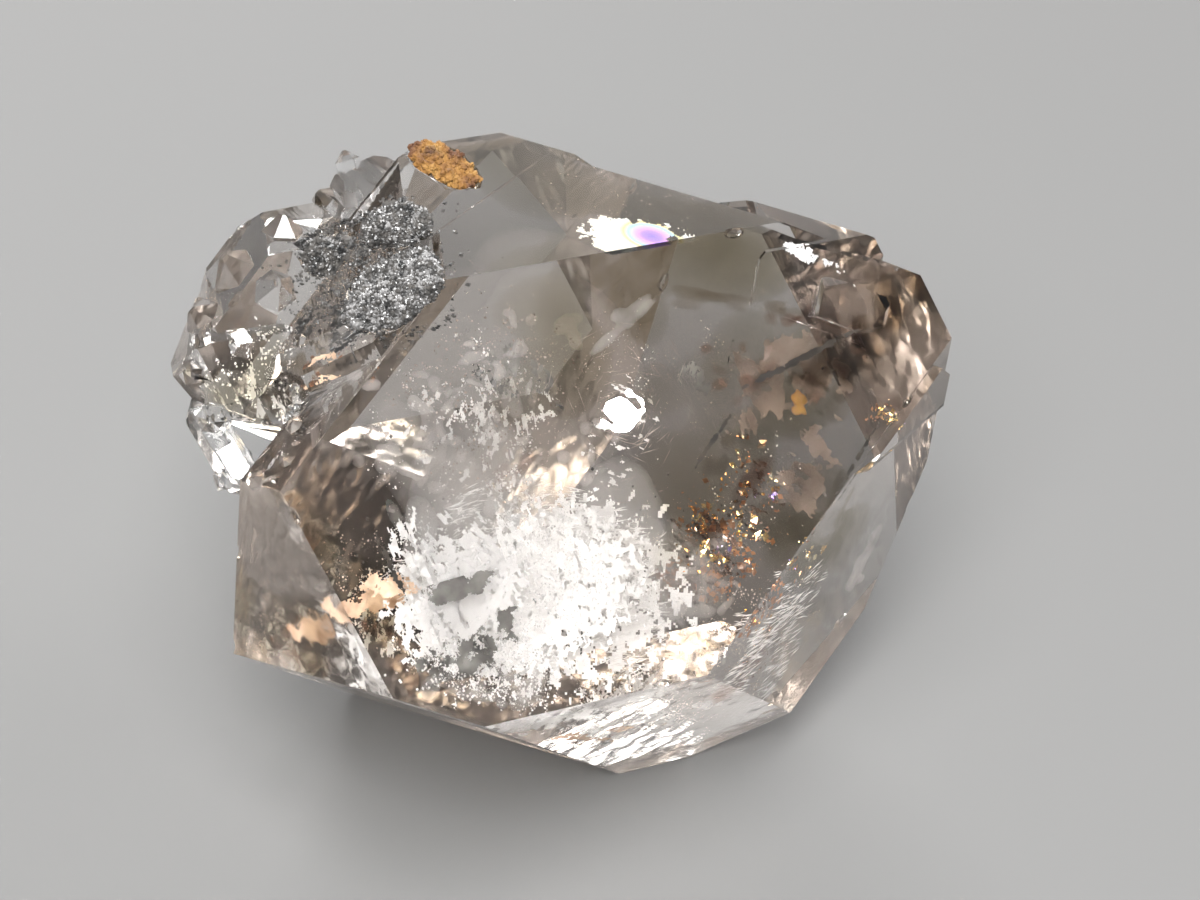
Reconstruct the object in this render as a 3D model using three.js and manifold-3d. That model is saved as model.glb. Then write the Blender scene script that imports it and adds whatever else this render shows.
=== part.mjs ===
// Doubly terminated smoky quartz ("Herkimer diamond") about 50 mm across, with the smaller crystals that
// grew into it, a rusty crust on its top and sooty druses in its hollows. Millimetres, +Z up.
// Every flat face is a real face of quartz, so a crystal is given by how it lies and by how far
// each of its faces is from its centre.
import * as THREE from 'three';
import { mergeVertices } from 'three/addons/utils/BufferGeometryUtils.js';
import Module from 'manifold-3d';

const wasm = await Module();
wasm.setup();

// ---- driving dimensions -------------------------------------------------------------------------

const AXIS_RATIO = 1.10;              // quartz: length of c over length of a
const RHOMB_TILT = Math.atan(AXIS_RATIO * 2 / Math.sqrt(3)); // rhombohedral face normal, from the c axis
const REST_DEPTH = 24.2;              // main crystal: centre to the rhombohedral face it lies on
const BLOCK = 120;                    // side of the raw block that the faces are cut from
const WELD = 1e-5;                    // corners nearer than this are one corner
const FACE_STEP = 60;                 // degrees around c from one face of a kind to the next

// How the main crystal lies: on one of its lower rhombohedral faces, its c axis turned away from +X.
const REST_FACE = 2;
const MAIN_LIE = {
  azimuth: 16.9,
  elevation: 90 - THREE.MathUtils.radToDeg(RHOMB_TILT),
  spin: FACE_STEP * REST_FACE,
};

// Faces: m0..m5 the prism, u0..u5 the upper rhombohedra, l0..l5 the lower ones, one FACE_STEP apart.
const QUARTZ_LOOK = { colour: 0xcbbdb6, roughness: 0.05 };
const MAIN_CRYSTAL = {
  centre: [0, 0, REST_DEPTH],
  lie: MAIN_LIE,
  faces: {
    u0: 5.7, u1: 13.2, u2: 24.8, u3: 21.6, u4: 17.3, u5: 12.95,
    l0: 23.2, l1: 19.2, l2: REST_DEPTH, l3: 20.8, l4: 11.5,
    m1: 16.0, m2: 25.5, m3: 20.5, m5: 17.7,
  },
};

// Parallel growths share the main crystal's lie, so their faces step up or down beside its own.
const SHOULDER = {
  centre: [0, 0, REST_DEPTH],
  lie: MAIN_LIE,
  faces: {
    u0: 5.4, u1: 6, u2: 12, u3: 9, u4: 17.9, u5: 12.6,
    l0: 16.6, l1: 5.4, l2: 6, l3: 13, l4: 17.9, l5: 22.6,
    m3: 16, m4: 21.0, m5: 18.6, m0: 12,
  },
};
const TIP_HILLOCK = {
  centre: [13, 11, 31],
  lie: MAIN_LIE,
  faces: {
    u0: 2.6, u2: 2.1, u3: 1.5, u4: 1.9, u5: 3.4,
    l1: 0.9, l2: 5, l3: 5, l4: 5, l5: 2.9,
    m1: 1.9, m3: 4,
  },
};
const TIP_LEDGE = {
  centre: [9.5, 13.5, 33.5],
  lie: MAIN_LIE,
  faces: { u0: 3.2, u2: 4.4, u3: 2.6, u4: 2.0, u5: 2.5, l5: 4.4, m5: 4.2, l1: 5, l2: 5, l3: 6, l4: 7 },
};
const TIP_PLATE = {
  centre: [0, 0, REST_DEPTH],
  lie: MAIN_LIE,
  faces: { u0: 5.6, u1: 13.7, u2: 24.6, u3: 21.4, u4: 12, u5: 10, l2: -0.7, l4: 4, l5: -8, l0: 8 },
};
const LEFT_CRYSTAL = {
  centre: [-22.5, -2.5, 28.5],
  lie: { azimuth: 20, elevation: 41, spin: 124 },
  faces: {
    u0: 3.8, u1: 9, u2: 9, u3: 7, u4: 9.5, u5: 5.9,
    l0: 4.6, l1: 5.8, l2: 7.5, l3: 7, l4: 4.1, l5: 4.1,
    m0: 5.8, m3: 7, m4: 6.6, m5: 4.6,
  },
  oddFaces: [{ azimuth: 198, elevation: -11.5, distance: 5.3 }, { azimuth: 215, elevation: -52, distance: 5.2 }],
};
const LEFT_STEP = {
  centre: [-24.2, -5.5, 28.6],
  lie: { azimuth: 14, elevation: 38, spin: 119 },
  faces: {
    u0: 3.2, u1: 4, u2: 4, u3: 4, u4: 3, u5: 2.9,
    l0: 2.7, l1: 3.2, l2: 4, l3: 4, l4: 3, l5: 2.5,
    m0: 3.4, m3: 4, m5: 3.0,
  },
  oddFaces: [{ azimuth: 198, elevation: -11.5, distance: 3.3 }, { azimuth: 215, elevation: -52, distance: 3.0 }],
};
const LEFT_HOOK = {
  centre: [-22.9, -9.6, 25.2],
  lie: { azimuth: -43, elevation: -17, spin: 95 },
  faces: {
    m0: 1.0, m1: 1.1, m2: 1.2, m3: 1.0, m4: 1.1, m5: 1.0,
    u0: 2.5, u1: 2.7, u2: 2.5, u3: 2.6, u4: 2.5, u5: 2.7,
    l0: 2.3, l1: 2.2, l2: 2.4, l3: 2.2, l4: 2.3, l5: 2.2,
  },
};
const TOP_STUB = {
  centre: [-18.4, 8.2, 32.6],
  lie: { azimuth: 30, elevation: 40, spin: 118 },
  faces: {
    u0: 2.2, u1: 4, u2: 2.6, u3: 2.6, u4: 3.0, u5: 1.9,
    l0: 3.4, l1: 3.6, l2: 4, l3: 3, l4: 2.4, l5: 2.6,
    m0: 3, m3: 3, m4: 2.4, m5: 2.2,
  },
};
const BACK_LEDGE = {
  centre: [0, 0, REST_DEPTH],
  lie: MAIN_LIE,
  faces: {
    u0: -2, u2: 10, u3: 14.5, u4: 17.9, u5: 8.5,
    l1: 0, l2: 3, l3: 9, l4: 3.5, l5: 6,
    m3: 19.0, m4: 13.5,
  },
};
const SATELLITES = [
  BACK_LEDGE, SHOULDER, TIP_HILLOCK, TIP_LEDGE, TIP_PLATE,
  LEFT_CRYSTAL, LEFT_STEP, LEFT_HOOK, TOP_STUB,
];

// Crusts of other minerals, each a lump that sits half sunk in a pit of the quartz.
const PIT_GAP = 0.3;                  // clearance between a crust and the wall of its pit
const LUMP_DETAIL = 5;
const LUMP_RIPPLE = 0.045;            // bumps on a lump, as a share of its radii
// The waves that make the bumps: how fast each runs along x, y and z of the lump, and its strength.
const LUMP_WAVES = [
  { along: [5.3, 6.8, 0], strength: 0.5 },
  { along: [5.3, -2.6, 0], strength: 0.5 },
  { along: [6.1, 0, 8.9], strength: 1.0 },
  { along: [-7.9, 11.3, 0], strength: 0.7 },
];
const IRON_CRUST = {
  name: 'iron_crust', colour: 0xb87420, roughness: 0.85,
  centre: [-14.2, 8.5, 36.75], faces: { azimuth: 0, elevation: 90 }, turn: 152, radii: [2.5, 1.45, 0.6],
};
const DRUSE_LARGE = {
  name: 'carbon_druse_large', colour: 0x3c3a3a, roughness: 0.45,
  centre: [-14.7, -3.9, 35.8], faces: { azimuth: 197, elevation: 52 }, turn: 20, radii: [3.3, 2.9, 0.8],
};
const DRUSE_UPPER = {
  name: 'carbon_druse_upper', colour: 0x343232, roughness: 0.45,
  centre: [-15.8, 1.9, 36.3], faces: { azimuth: 197, elevation: 52 }, turn: 160, radii: [2.6, 1.6, 0.7],
};
const DRUSE_NOTCH = {
  name: 'carbon_druse_notch', colour: 0x302e2e, roughness: 0.45,
  centre: [-19.8, -0.1, 34.0], faces: { azimuth: -55, elevation: 47 }, turn: 30, radii: [1.3, 1.1, 0.5],
};
const CRUSTS = [IRON_CRUST, DRUSE_LARGE, DRUSE_UPPER, DRUSE_NOTCH];

// ---- quartz geometry ----------------------------------------------------------------------------

// Looking direction of a face that is no regular crystal face, such as a step or a break.
function lookingDirection({ azimuth, elevation }) {
  const [az, el] = [azimuth, elevation].map(THREE.MathUtils.degToRad);
  return new THREE.Vector3(Math.cos(el) * Math.cos(az), Math.cos(el) * Math.sin(az), Math.sin(el));
}

// Turns crystal directions (angle around c, tilt from c, both in radians) into directions of the part.
function crystalFrame({ azimuth, elevation, spin }) {
  const c = lookingDirection({ azimuth, elevation });
  const turn = THREE.MathUtils.degToRad(spin);
  const down = new THREE.Vector3(0, 0, -1);
  down.addScaledVector(c, -down.dot(c)).normalize();
  return (around, tilt) => down.clone().applyAxisAngle(c, around - turn).multiplyScalar(Math.sin(tilt))
    .addScaledVector(c, Math.cos(tilt));
}

function faceNormal(direction, face) {
  const around = THREE.MathUtils.degToRad(FACE_STEP * Number(face[1]));
  const tilt = { m: Math.PI / 2, u: RHOMB_TILT, l: Math.PI - RHOMB_TILT }[face[0]];
  return direction(around, tilt);
}

// ---- joining and cutting ------------------------------------------------------------------------

function toSolid(geometry) {
  geometry.deleteAttribute('normal');
  geometry.deleteAttribute('uv');
  const merged = mergeVertices(geometry, WELD);
  const mesh = new wasm.Mesh({
    numProp: 3,
    vertProperties: new Float32Array(merged.attributes.position.array),
    triVerts: new Uint32Array(merged.index.array),
  });
  return new wasm.Manifold(mesh);
}

function toGeometry(solid) {
  const mesh = solid.getMesh();
  const geometry = new THREE.BufferGeometry();
  geometry.setAttribute('position', new THREE.BufferAttribute(mesh.vertProperties, 3));
  geometry.setIndex(new THREE.BufferAttribute(mesh.triVerts, 1));
  return geometry;
}

// A block with one cut for each face of the crystal.
function growCrystal({ centre, lie, faces, oddFaces = [] }) {
  const direction = crystalFrame(lie);
  const middle = new THREE.Vector3(...centre);
  const raw = new THREE.BoxGeometry(BLOCK, BLOCK, BLOCK).translate(...centre);
  let crystal = toSolid(raw);
  const cuts = Object.entries(faces).map(([face, distance]) => [faceNormal(direction, face), distance]);
  for (const odd of oddFaces) cuts.push([lookingDirection(odd), odd.distance]);
  for (const [outward, distance] of cuts) {
    const level = outward.dot(middle) + distance;
    crystal = crystal.trimByPlane(outward.clone().negate().toArray(), -level);
  }
  return crystal;
}

// A flattened lump with a rippled skin, lying in the face it grew on; extra widens it all round.
function lumpGeometry({ centre, faces, turn, radii }, extra) {
  const lump = new THREE.IcosahedronGeometry(1, LUMP_DETAIL);
  const points = lump.attributes.position;
  const reach = new THREE.Vector3(...radii).addScalar(extra);
  const waves = LUMP_WAVES.map(({ along, strength }) => [new THREE.Vector3(...along), strength]);
  const at = new THREE.Vector3();
  for (let i = 0; i < points.count; i++) {
    at.fromBufferAttribute(points, i);
    let ripple = 0;
    for (const [along, strength] of waves) ripple += strength * Math.sin(along.dot(at));
    at.multiplyScalar(1 + LUMP_RIPPLE * ripple).multiply(reach);
    points.setXYZ(i, ...at);
  }
  const outward = lookingDirection(faces);
  lump.rotateZ(THREE.MathUtils.degToRad(turn));
  lump.applyQuaternion(new THREE.Quaternion().setFromUnitVectors(new THREE.Vector3(0, 0, 1), outward));
  return lump.translate(...centre);
}

// ---- the pieces ---------------------------------------------------------------------------------

let quartz = growCrystal(MAIN_CRYSTAL);
for (const satellite of SATELLITES) quartz = quartz.add(growCrystal(satellite));

for (const crust of CRUSTS) quartz = quartz.subtract(toSolid(lumpGeometry(crust, PIT_GAP)));

function namedMesh(name, solid, { colour, roughness }) {
  const material = new THREE.MeshStandardMaterial({ color: colour, roughness, metalness: 0 });
  const mesh = new THREE.Mesh(toGeometry(solid), material);
  mesh.name = name;
  return mesh;
}

const part = new THREE.Group();
part.add(namedMesh('quartz_crystal', quartz, QUARTZ_LOOK));
for (const crust of CRUSTS) part.add(namedMesh(crust.name, toSolid(lumpGeometry(crust, 0)), crust));

// The origin is under the middle of the specimen, on the surface it lies on.
const extent = new THREE.Box3().setFromObject(part);
const middle = extent.getCenter(new THREE.Vector3());
part.position.set(-middle.x, -middle.y, -extent.min.z);

export default part;
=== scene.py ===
# %% [markdown]
# # A Herkimer diamond
# A Herkimer diamond is a clear quartz crystal with a point at both ends. This one is smoky, has smaller
# crystals grown into its left end, a rusty crust on top and sooty, glittering druses in its hollows.
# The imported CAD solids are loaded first. They give the real shape and size in metres, and every piece
# made below is fitted to them.

# %% Load the frame
import math
import random

import bmesh
import bpy
from mathutils import Euler, Matrix, Vector, noise
from mathutils.bvhtree import BVHTree


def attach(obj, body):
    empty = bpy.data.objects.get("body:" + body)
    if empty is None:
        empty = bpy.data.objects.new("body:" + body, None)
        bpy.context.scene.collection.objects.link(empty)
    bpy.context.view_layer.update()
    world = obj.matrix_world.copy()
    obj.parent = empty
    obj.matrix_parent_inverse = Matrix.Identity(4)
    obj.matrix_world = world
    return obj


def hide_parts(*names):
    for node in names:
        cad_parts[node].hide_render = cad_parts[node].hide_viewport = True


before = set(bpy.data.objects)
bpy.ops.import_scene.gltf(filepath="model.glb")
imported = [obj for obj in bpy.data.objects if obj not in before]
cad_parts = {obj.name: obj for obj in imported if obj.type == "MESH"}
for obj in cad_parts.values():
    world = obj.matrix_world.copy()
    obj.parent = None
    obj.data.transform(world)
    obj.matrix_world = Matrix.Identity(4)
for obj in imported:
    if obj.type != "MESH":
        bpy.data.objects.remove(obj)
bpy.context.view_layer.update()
MM = 0.001

# %% [markdown]
# ## How the main crystal lies
# Quartz faces meet at fixed angles, so one direction and one length tell where a face is. The main crystal
# lies on a rhombohedral face, and its c axis leans over by the tilt of that face. Knowing the axis lets the
# growth lines below follow the crystal, and knowing the faces lets inclusions be placed under them.

# %% Directions of the crystal
HEART = Vector((2.95, -0.6, 24.2)) * MM           # centre of the main crystal
RHOMB_TILT = math.atan(1.10 * 2 / math.sqrt(3))   # face normal from the c axis: c over a is 1.10 in quartz
AXIS_AZIMUTH = math.radians(16.9)
C_AXIS = Vector((math.sin(RHOMB_TILT) * math.cos(AXIS_AZIMUTH),
                 math.sin(RHOMB_TILT) * math.sin(AXIS_AZIMUTH),
                 math.cos(RHOMB_TILT)))
REST_FACE = 2
FACE_STEP = math.radians(60)


def face_normal(kind, number):
    """Outward direction of a face: kind m is the prism, u the upper and l the lower rhombohedra."""
    tilt = {"m": math.pi / 2, "u": RHOMB_TILT, "l": math.pi - RHOMB_TILT}[kind]
    down = Vector((0, 0, -1))
    down = (down - C_AXIS * down.dot(C_AXIS)).normalized()
    around = Matrix.Rotation((number - REST_FACE) * FACE_STEP, 3, C_AXIS) @ down
    return around * math.sin(tilt) + C_AXIS * math.cos(tilt)


BIG_FACE = face_normal("u", 0)
TOP_FACE = face_normal("u", 5)
print("c axis", [round(v, 3) for v in C_AXIS], "big face", [round(v, 3) for v in BIG_FACE])

# %% [markdown]
# ## Camera and studio
# The camera looks down from the front at 41 degrees through a long lens, and is rolled a little. A pale
# matt floor and large soft lamps come first, because clear crystal has no look of its own: it shows what
# is around it. The floor lies a hair under the crystal, so that there is air between them as on a real table.

# %% Camera
ELEVATION = math.radians(40.9)
ROLL = math.radians(14.68)
DISTANCE = 253.6 * MM
LENS = 118.7

bpy.ops.object.select_all(action="DESELECT")
camera_turn = Matrix.Rotation(math.pi / 2 - ELEVATION, 4, "X") @ Matrix.Rotation(ROLL, 4, "Z")
camera_place = HEART + camera_turn.to_3x3() @ Vector((0, 0, DISTANCE))
bpy.ops.object.camera_add(location=camera_place, rotation=camera_turn.to_euler())
camera = bpy.context.object
camera.data.lens = LENS
camera.data.clip_start = 10 * MM
bpy.context.scene.camera = camera

# %% Floor
FLOOR_DROP = 0.15 * MM


def new_material(name, colour, roughness=0.5):
    """A Principled material with a plain colour, and its node tree and shader to build on."""
    material = bpy.data.materials.new(name)
    material.use_nodes = True
    shader = material.node_tree.nodes["Principled BSDF"]
    shader.inputs["Base Color"].default_value = (*colour, 1)
    shader.inputs["Roughness"].default_value = roughness
    return material, material.node_tree, shader


bpy.ops.mesh.primitive_plane_add(size=3, location=(0, 0, -FLOOR_DROP))
floor = bpy.context.object
floor.name = "floor"
floor_paint, _, _ = new_material("pale_floor", (0.088, 0.087, 0.0855), 0.75)
floor.data.materials.append(floor_paint)

# %% Lamps
ROOM_LIGHT = 0.55


def mirrored(face, place_on_face):
    """Where a ray from the camera goes after it mirrors in a face at that point."""
    ray = (place_on_face - camera_place).normalized()
    return ray - 2 * ray.dot(face) * face


def soft_lamp(name, target, direction, distance, size, watts, tint=(1, 1, 1)):
    """A round softbox that shines on target from that direction."""
    place = target + direction.normalized() * distance
    turn = direction.to_track_quat("Z", "Y").to_euler()
    bpy.ops.object.light_add(type="AREA", location=place, rotation=turn)
    lamp = bpy.context.object
    lamp.name = name
    lamp.data.shape = "DISK"
    lamp.data.size = size
    lamp.data.energy = watts
    lamp.data.color = tint


glint_on_big_face = Vector((3.68, -3.11, 29.89)) * MM
glint_on_top_face = Vector((1.9, 5.78, 37.15)) * MM
soft_lamp("key_lamp", glint_on_big_face, mirrored(BIG_FACE, glint_on_big_face), 0.5, 0.0075, 0.08)
soft_lamp("sheen_lamp", glint_on_top_face, mirrored(TOP_FACE, glint_on_top_face), 0.5, 0.11, 0.035)
soft_lamp("overhead", HEART, Vector((-0.15, -0.35, 1)), 0.7, 0.42, 10.0)
soft_lamp("front", HEART, Vector((-0.15, -0.85, 0.95)), 0.8, 0.42, 17.0)
soft_lamp("back_left", HEART, Vector((-0.38, 0.84, 0.33)), 0.6, 0.34, 4.2)
soft_lamp("back_right", HEART, Vector((0.75, 0.65, 0.45)), 0.6, 0.26, 3.2)

world = bpy.data.worlds.new("studio")
bpy.context.scene.world = world
world.use_nodes = True
world.node_tree.nodes["Background"].inputs["Color"].default_value = (0.52, 0.53, 0.55, 1)
world.node_tree.nodes["Background"].inputs["Strength"].default_value = ROOM_LIGHT

# %% [markdown]
# ## Helpers for pieces
# A finished piece has its place in its mesh, rides on the body "root" and gets the one material it is given.
# Things that repeat many times, such as druse points, are modelled once and copied by Geometry Nodes, whose
# copies are then made real mesh.

# %% Helpers
def only(thing):
    """Deselects everything, then selects one object and makes it active."""
    bpy.ops.object.select_all(action="DESELECT")
    thing.select_set(True)
    bpy.context.view_layer.objects.active = thing
    return thing


def finish_piece(piece, name, material, replaced=()):
    """Names a finished mesh, gives it its material and tells the frame what it is."""
    only(piece)
    bpy.ops.object.transform_apply(location=True, rotation=True, scale=True)
    piece.name = name
    piece.data.name = name
    piece.data.materials.clear()
    piece.data.materials.append(material)
    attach(piece, "root")
    if replaced:
        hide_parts(*replaced)
    print(name, len(piece.data.polygons), "faces")


def copy_of_node(node):
    """A copy of a CAD node, merged into one closed mesh with each flat face as one polygon."""
    only(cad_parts[node])
    bpy.ops.object.duplicate()
    copy = bpy.context.object
    copy.parent = None
    bpy.ops.object.mode_set(mode="EDIT")
    bpy.ops.mesh.select_all(action="SELECT")
    bpy.ops.mesh.remove_doubles(threshold=0.001 * MM)
    bpy.ops.mesh.dissolve_limited(angle_limit=math.radians(1))
    bpy.ops.object.mode_set(mode="OBJECT")
    for key in [k for k in copy.keys() if k.startswith("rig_")]:
        del copy[key]
    return copy


def apply_modifier(thing, kind, **settings):
    """Adds one modifier with these settings and applies it at once."""
    only(thing)
    modifier = thing.modifiers.new(kind.lower(), kind)
    for key, value in settings.items():
        setattr(modifier, key, value)
    bpy.ops.object.modifier_apply(modifier=modifier.name)


def select_faces(thing, wanted):
    """Selects the faces of a mesh by a list of true and false, and stays in edit mode."""
    only(thing)
    bpy.ops.object.mode_set(mode="EDIT")
    bpy.ops.mesh.select_mode(type="FACE")
    bpy.ops.mesh.select_all(action="DESELECT")
    bpy.ops.object.mode_set(mode="OBJECT")
    for face, chosen in zip(thing.data.polygons, wanted):
        face.select = chosen
    bpy.ops.object.mode_set(mode="EDIT")


def put(thing, place, along=(0, 0, 1), turn=0.0):
    """Moves a helper mesh to place in mm, with its own Z along a direction, and applies that."""
    thing.location = Vector(place) * MM
    thing.rotation_euler = (Vector(along).to_track_quat("Z", "Y").to_matrix()
                            @ Matrix.Rotation(math.radians(turn), 3, "Z")).to_euler()
    only(thing)
    bpy.ops.object.transform_apply(location=True, rotation=True, scale=True)
    return thing


def scatter(ground, grain, density, sizes, seed, lean=math.pi, bias=2.0, spin=math.pi):
    """Covers ground with copies of grain, density to a square mm and sizes in mm, and returns one mesh.
    lean is how far a copy may lean from the ground's normal, spin how far it may turn about it, and bias
    above 1 makes most copies small."""
    tree = bpy.data.node_groups.new("scatter", "GeometryNodeTree")
    tree.interface.new_socket("Geometry", in_out="INPUT", socket_type="NodeSocketGeometry")
    tree.interface.new_socket("Geometry", in_out="OUTPUT", socket_type="NodeSocketGeometry")
    add, link = tree.nodes.new, tree.links.new
    ground_in, made_out = add("NodeGroupInput"), add("NodeGroupOutput")

    points = add("GeometryNodeDistributePointsOnFaces")
    points.inputs["Density"].default_value = density / MM ** 2
    points.inputs["Seed"].default_value = seed
    link(ground_in.outputs[0], points.inputs["Mesh"])

    tilt = add("FunctionNodeRandomValue")
    tilt.data_type = "FLOAT_VECTOR"
    tilt.inputs["Min"].default_value = (-lean, -lean, -spin)
    tilt.inputs["Max"].default_value = (lean, lean, spin)
    tilt.inputs["Seed"].default_value = seed + 1
    as_turn = add("FunctionNodeEulerToRotation")
    link(tilt.outputs["Value"], as_turn.inputs[0])
    turned = add("FunctionNodeRotateRotation")
    turned.rotation_space = "LOCAL"
    link(points.outputs["Rotation"], turned.inputs[0])
    link(as_turn.outputs[0], turned.inputs[1])

    share = add("FunctionNodeRandomValue")
    share.inputs["Seed"].default_value = seed + 2
    small = add("ShaderNodeMath")
    small.operation = "POWER"
    small.inputs[1].default_value = bias
    link(share.outputs[1], small.inputs[0])
    size = add("ShaderNodeMapRange")
    size.inputs["To Min"].default_value = sizes[0] * MM
    size.inputs["To Max"].default_value = sizes[1] * MM
    link(small.outputs[0], size.inputs["Value"])

    copied = add("GeometryNodeObjectInfo")
    copied.inputs["Object"].default_value = grain
    copies = add("GeometryNodeInstanceOnPoints")
    link(points.outputs["Points"], copies.inputs["Points"])
    link(copied.outputs["Geometry"], copies.inputs["Instance"])
    link(turned.outputs[0], copies.inputs["Rotation"])
    link(size.outputs["Result"], copies.inputs["Scale"])
    real = add("GeometryNodeRealizeInstances")
    link(copies.outputs[0], real.inputs[0])
    link(real.outputs[0], made_out.inputs[0])

    only(ground)
    bpy.ops.object.duplicate()
    made = bpy.context.object
    made.modifiers.new("scatter", "NODES").node_group = tree
    bpy.ops.object.modifier_apply(modifier="scatter")
    return made


def remove(*things):
    """Deletes helper objects that aren't part of the specimen."""
    bpy.ops.object.select_all(action="DESELECT")
    for thing in things:
        thing.select_set(True)
    bpy.ops.object.delete()


def join(things):
    """Joins meshes into the first of them."""
    only(things[0])
    for thing in things[1:]:
        thing.select_set(True)
    bpy.ops.object.join()
    return things[0]

# %% [markdown]
# ## Grains
# Four small shapes are modelled once: a druse point (a six-sided prism with a pointed end), a flake, a
# needle and a rounded crumb. They have few faces, because they are copied thousands of times. Each is about
# one unit across, so that the size given to the scatter helper is its real size.

# %% Druse point, flake, needle and crumb
def druse_point():
    bpy.ops.mesh.primitive_cylinder_add(vertices=6, radius=0.32, depth=0.6)
    point = bpy.context.object
    bpy.ops.object.mode_set(mode="EDIT")
    bpy.ops.mesh.select_all(action="DESELECT")
    bpy.ops.object.mode_set(mode="OBJECT")
    for face in point.data.polygons:
        face.select = face.normal.z > 0.9
    bpy.ops.object.mode_set(mode="EDIT")
    bpy.ops.mesh.extrude_region_move(TRANSFORM_OT_translate={"value": (0.03, 0, 0.32)})
    bpy.ops.mesh.merge(type="COLLAPSE")
    bpy.ops.object.mode_set(mode="OBJECT")
    point.name = "grain_point"
    return point


def squashed_ball(name, sides, rings, shape):
    """A faceted ball one unit across, pressed to the given shape."""
    bpy.ops.mesh.primitive_uv_sphere_add(segments=sides, ring_count=rings, radius=0.5)
    ball = bpy.context.object
    bpy.ops.object.mode_set(mode="EDIT")
    bpy.ops.transform.resize(value=shape)
    bpy.ops.object.mode_set(mode="OBJECT")
    ball.name = name
    return ball


def double_pyramid(name, sides, shape):
    """Two pyramids base to base, one unit across, pressed to the given shape."""
    bpy.ops.mesh.primitive_cone_add(vertices=sides, radius1=0.5, depth=0.5, location=(0, 0, 0.25),
                                    end_fill_type="NOTHING")
    stone = only(bpy.context.object)
    bpy.ops.object.transform_apply(location=True, rotation=True, scale=True)
    apply_modifier(stone, "MIRROR", use_axis=(False, False, True))
    bpy.ops.object.mode_set(mode="EDIT")
    bpy.ops.mesh.select_all(action="SELECT")
    bpy.ops.transform.resize(value=shape)
    bpy.ops.object.mode_set(mode="OBJECT")
    stone.name = name
    return stone


POINT = druse_point()
FLAKE = double_pyramid("grain_flake", 4, (1, 0.72, 0.07))
NEEDLE = double_pyramid("grain_needle", 4, (1, 0.07, 0.05))
CRUMB = squashed_ball("grain_crumb", 4, 3, (1, 0.8, 0.7))
print("faces:", {grain.name: len(grain.data.polygons) for grain in (POINT, FLAKE, NEEDLE, CRUMB)})

# %% [markdown]
# ## The quartz
# The quartz is one piece: the big crystal and everything grown into it. It starts as a merged copy of the
# CAD solid. Small crystals that grew into the left end are hexagonal prisms with pointed ends, joined on
# with one boolean so that clear crystal never overlaps clear crystal. Shell-shaped chips are then cut from
# the edges, because that is where a crystal gets knocked, and a narrow bevel lets each edge catch the light.

# %% Quartz: small crystals
quartz = copy_of_node("quartz_crystal")


def young_crystal(foot, along, width, length, turn=0.0):
    """A small crystal in mm: a six-sided prism whose pointed end is a little off centre."""
    bpy.ops.mesh.primitive_cylinder_add(vertices=6, radius=0.5 * width * MM, depth=length * MM)
    crystal = bpy.context.object
    select_faces(crystal, [face.normal.z > 0.9 for face in crystal.data.polygons])
    rise = 0.42 * width * MM
    bpy.ops.mesh.extrude_region_move(TRANSFORM_OT_translate={"value": (0, 0, rise)})
    peak = (0.04 * width * MM, 0, 0.5 * length * MM + rise)
    bpy.ops.transform.resize(value=(0.10, 0.26, 1), center_override=peak)
    bpy.ops.object.mode_set(mode="OBJECT")
    return put(crystal, foot, along, turn)


# foot in mm, the way it points, width mm, length mm, turn about its own axis
YOUNG_CRYSTALS = [
    ((-19.3, -3.4, 32.0), (0.15, -0.45, 0.88), 3.0, 2.2, 10),
    ((-21.6, -2.6, 31.8), (-0.45, -0.25, 0.85), 3.4, 2.4, 35),
    ((-22.2, -5.4, 30.2), (-0.62, -0.40, 0.68), 2.6, 2.6, 5),
    ((-20.4, -6.6, 30.2), (0.05, -0.75, 0.66), 2.2, 2.6, 50),
    ((-19.6, 0.2, 33.3), (-0.15, 0.30, 0.94), 2.8, 1.8, 20),
    ((-17.0, 1.8, 33.3), (0.20, 0.10, 0.97), 2.0, 2.0, 0),
    ((-22.0, -8.0, 28.4), (-0.45, -0.70, 0.55), 1.7, 3.2, 15),
    ((-20.6, -10.2, 27.2), (-0.10, -0.85, 0.50), 1.9, 2.4, 40),
    ((-18.8, -11.4, 24.6), (-0.25, -0.92, -0.25), 1.5, 2.6, 5),
    ((-17.4, 5.4, 33.0), (-0.60, -0.30, 0.74), 1.8, 2.4, 25),
    ((-16.9, 8.2, 33.7), (-0.50, 0.45, 0.74), 1.6, 2.2, 0),
    ((-16.4, -16.0, 28.1), (-0.45, -0.50, 0.74), 1.3, 1.5, 20),
    ((-15.6, -16.3, 28.3), (0.15, -0.62, 0.77), 1.0, 1.3, 50),
    ((-14.7, -16.5, 28.9), (0.20, -0.40, 0.90), 0.9, 1.1, 5),
    ((-16.0, -9.6, 30.1), (-0.35, -0.40, 0.85), 1.1, 1.2, 30),
    ((-15.8, -11.2, 30.0), (0.10, -0.50, 0.86), 0.9, 1.1, 0),
    ((-15.2, -12.4, 29.8), (-0.40, -0.30, 0.87), 1.2, 1.0, 45),
    ((-14.9, -13.8, 29.6), (0.15, -0.25, 0.95), 0.8, 1.1, 15),
    ((-15.0, -15.0, 29.3), (-0.35, -0.55, 0.76), 1.1, 1.2, 35),
    ((-16.6, -6.4, 31.3), (-0.10, -0.35, 0.93), 1.0, 1.1, 20),
    ((-14.2, -8.6, 32.0), (0.10, -0.70, 0.70), 0.9, 0.9, 0),
]
grown = [young_crystal(*one) for one in YOUNG_CRYSTALS]
for crystal in grown:
    apply_modifier(quartz, "BOOLEAN", operation="UNION", solver="EXACT", object=crystal)
remove(*grown)
print("quartz", len(quartz.data.polygons), "faces with", len(grown), "small crystals")

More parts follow.
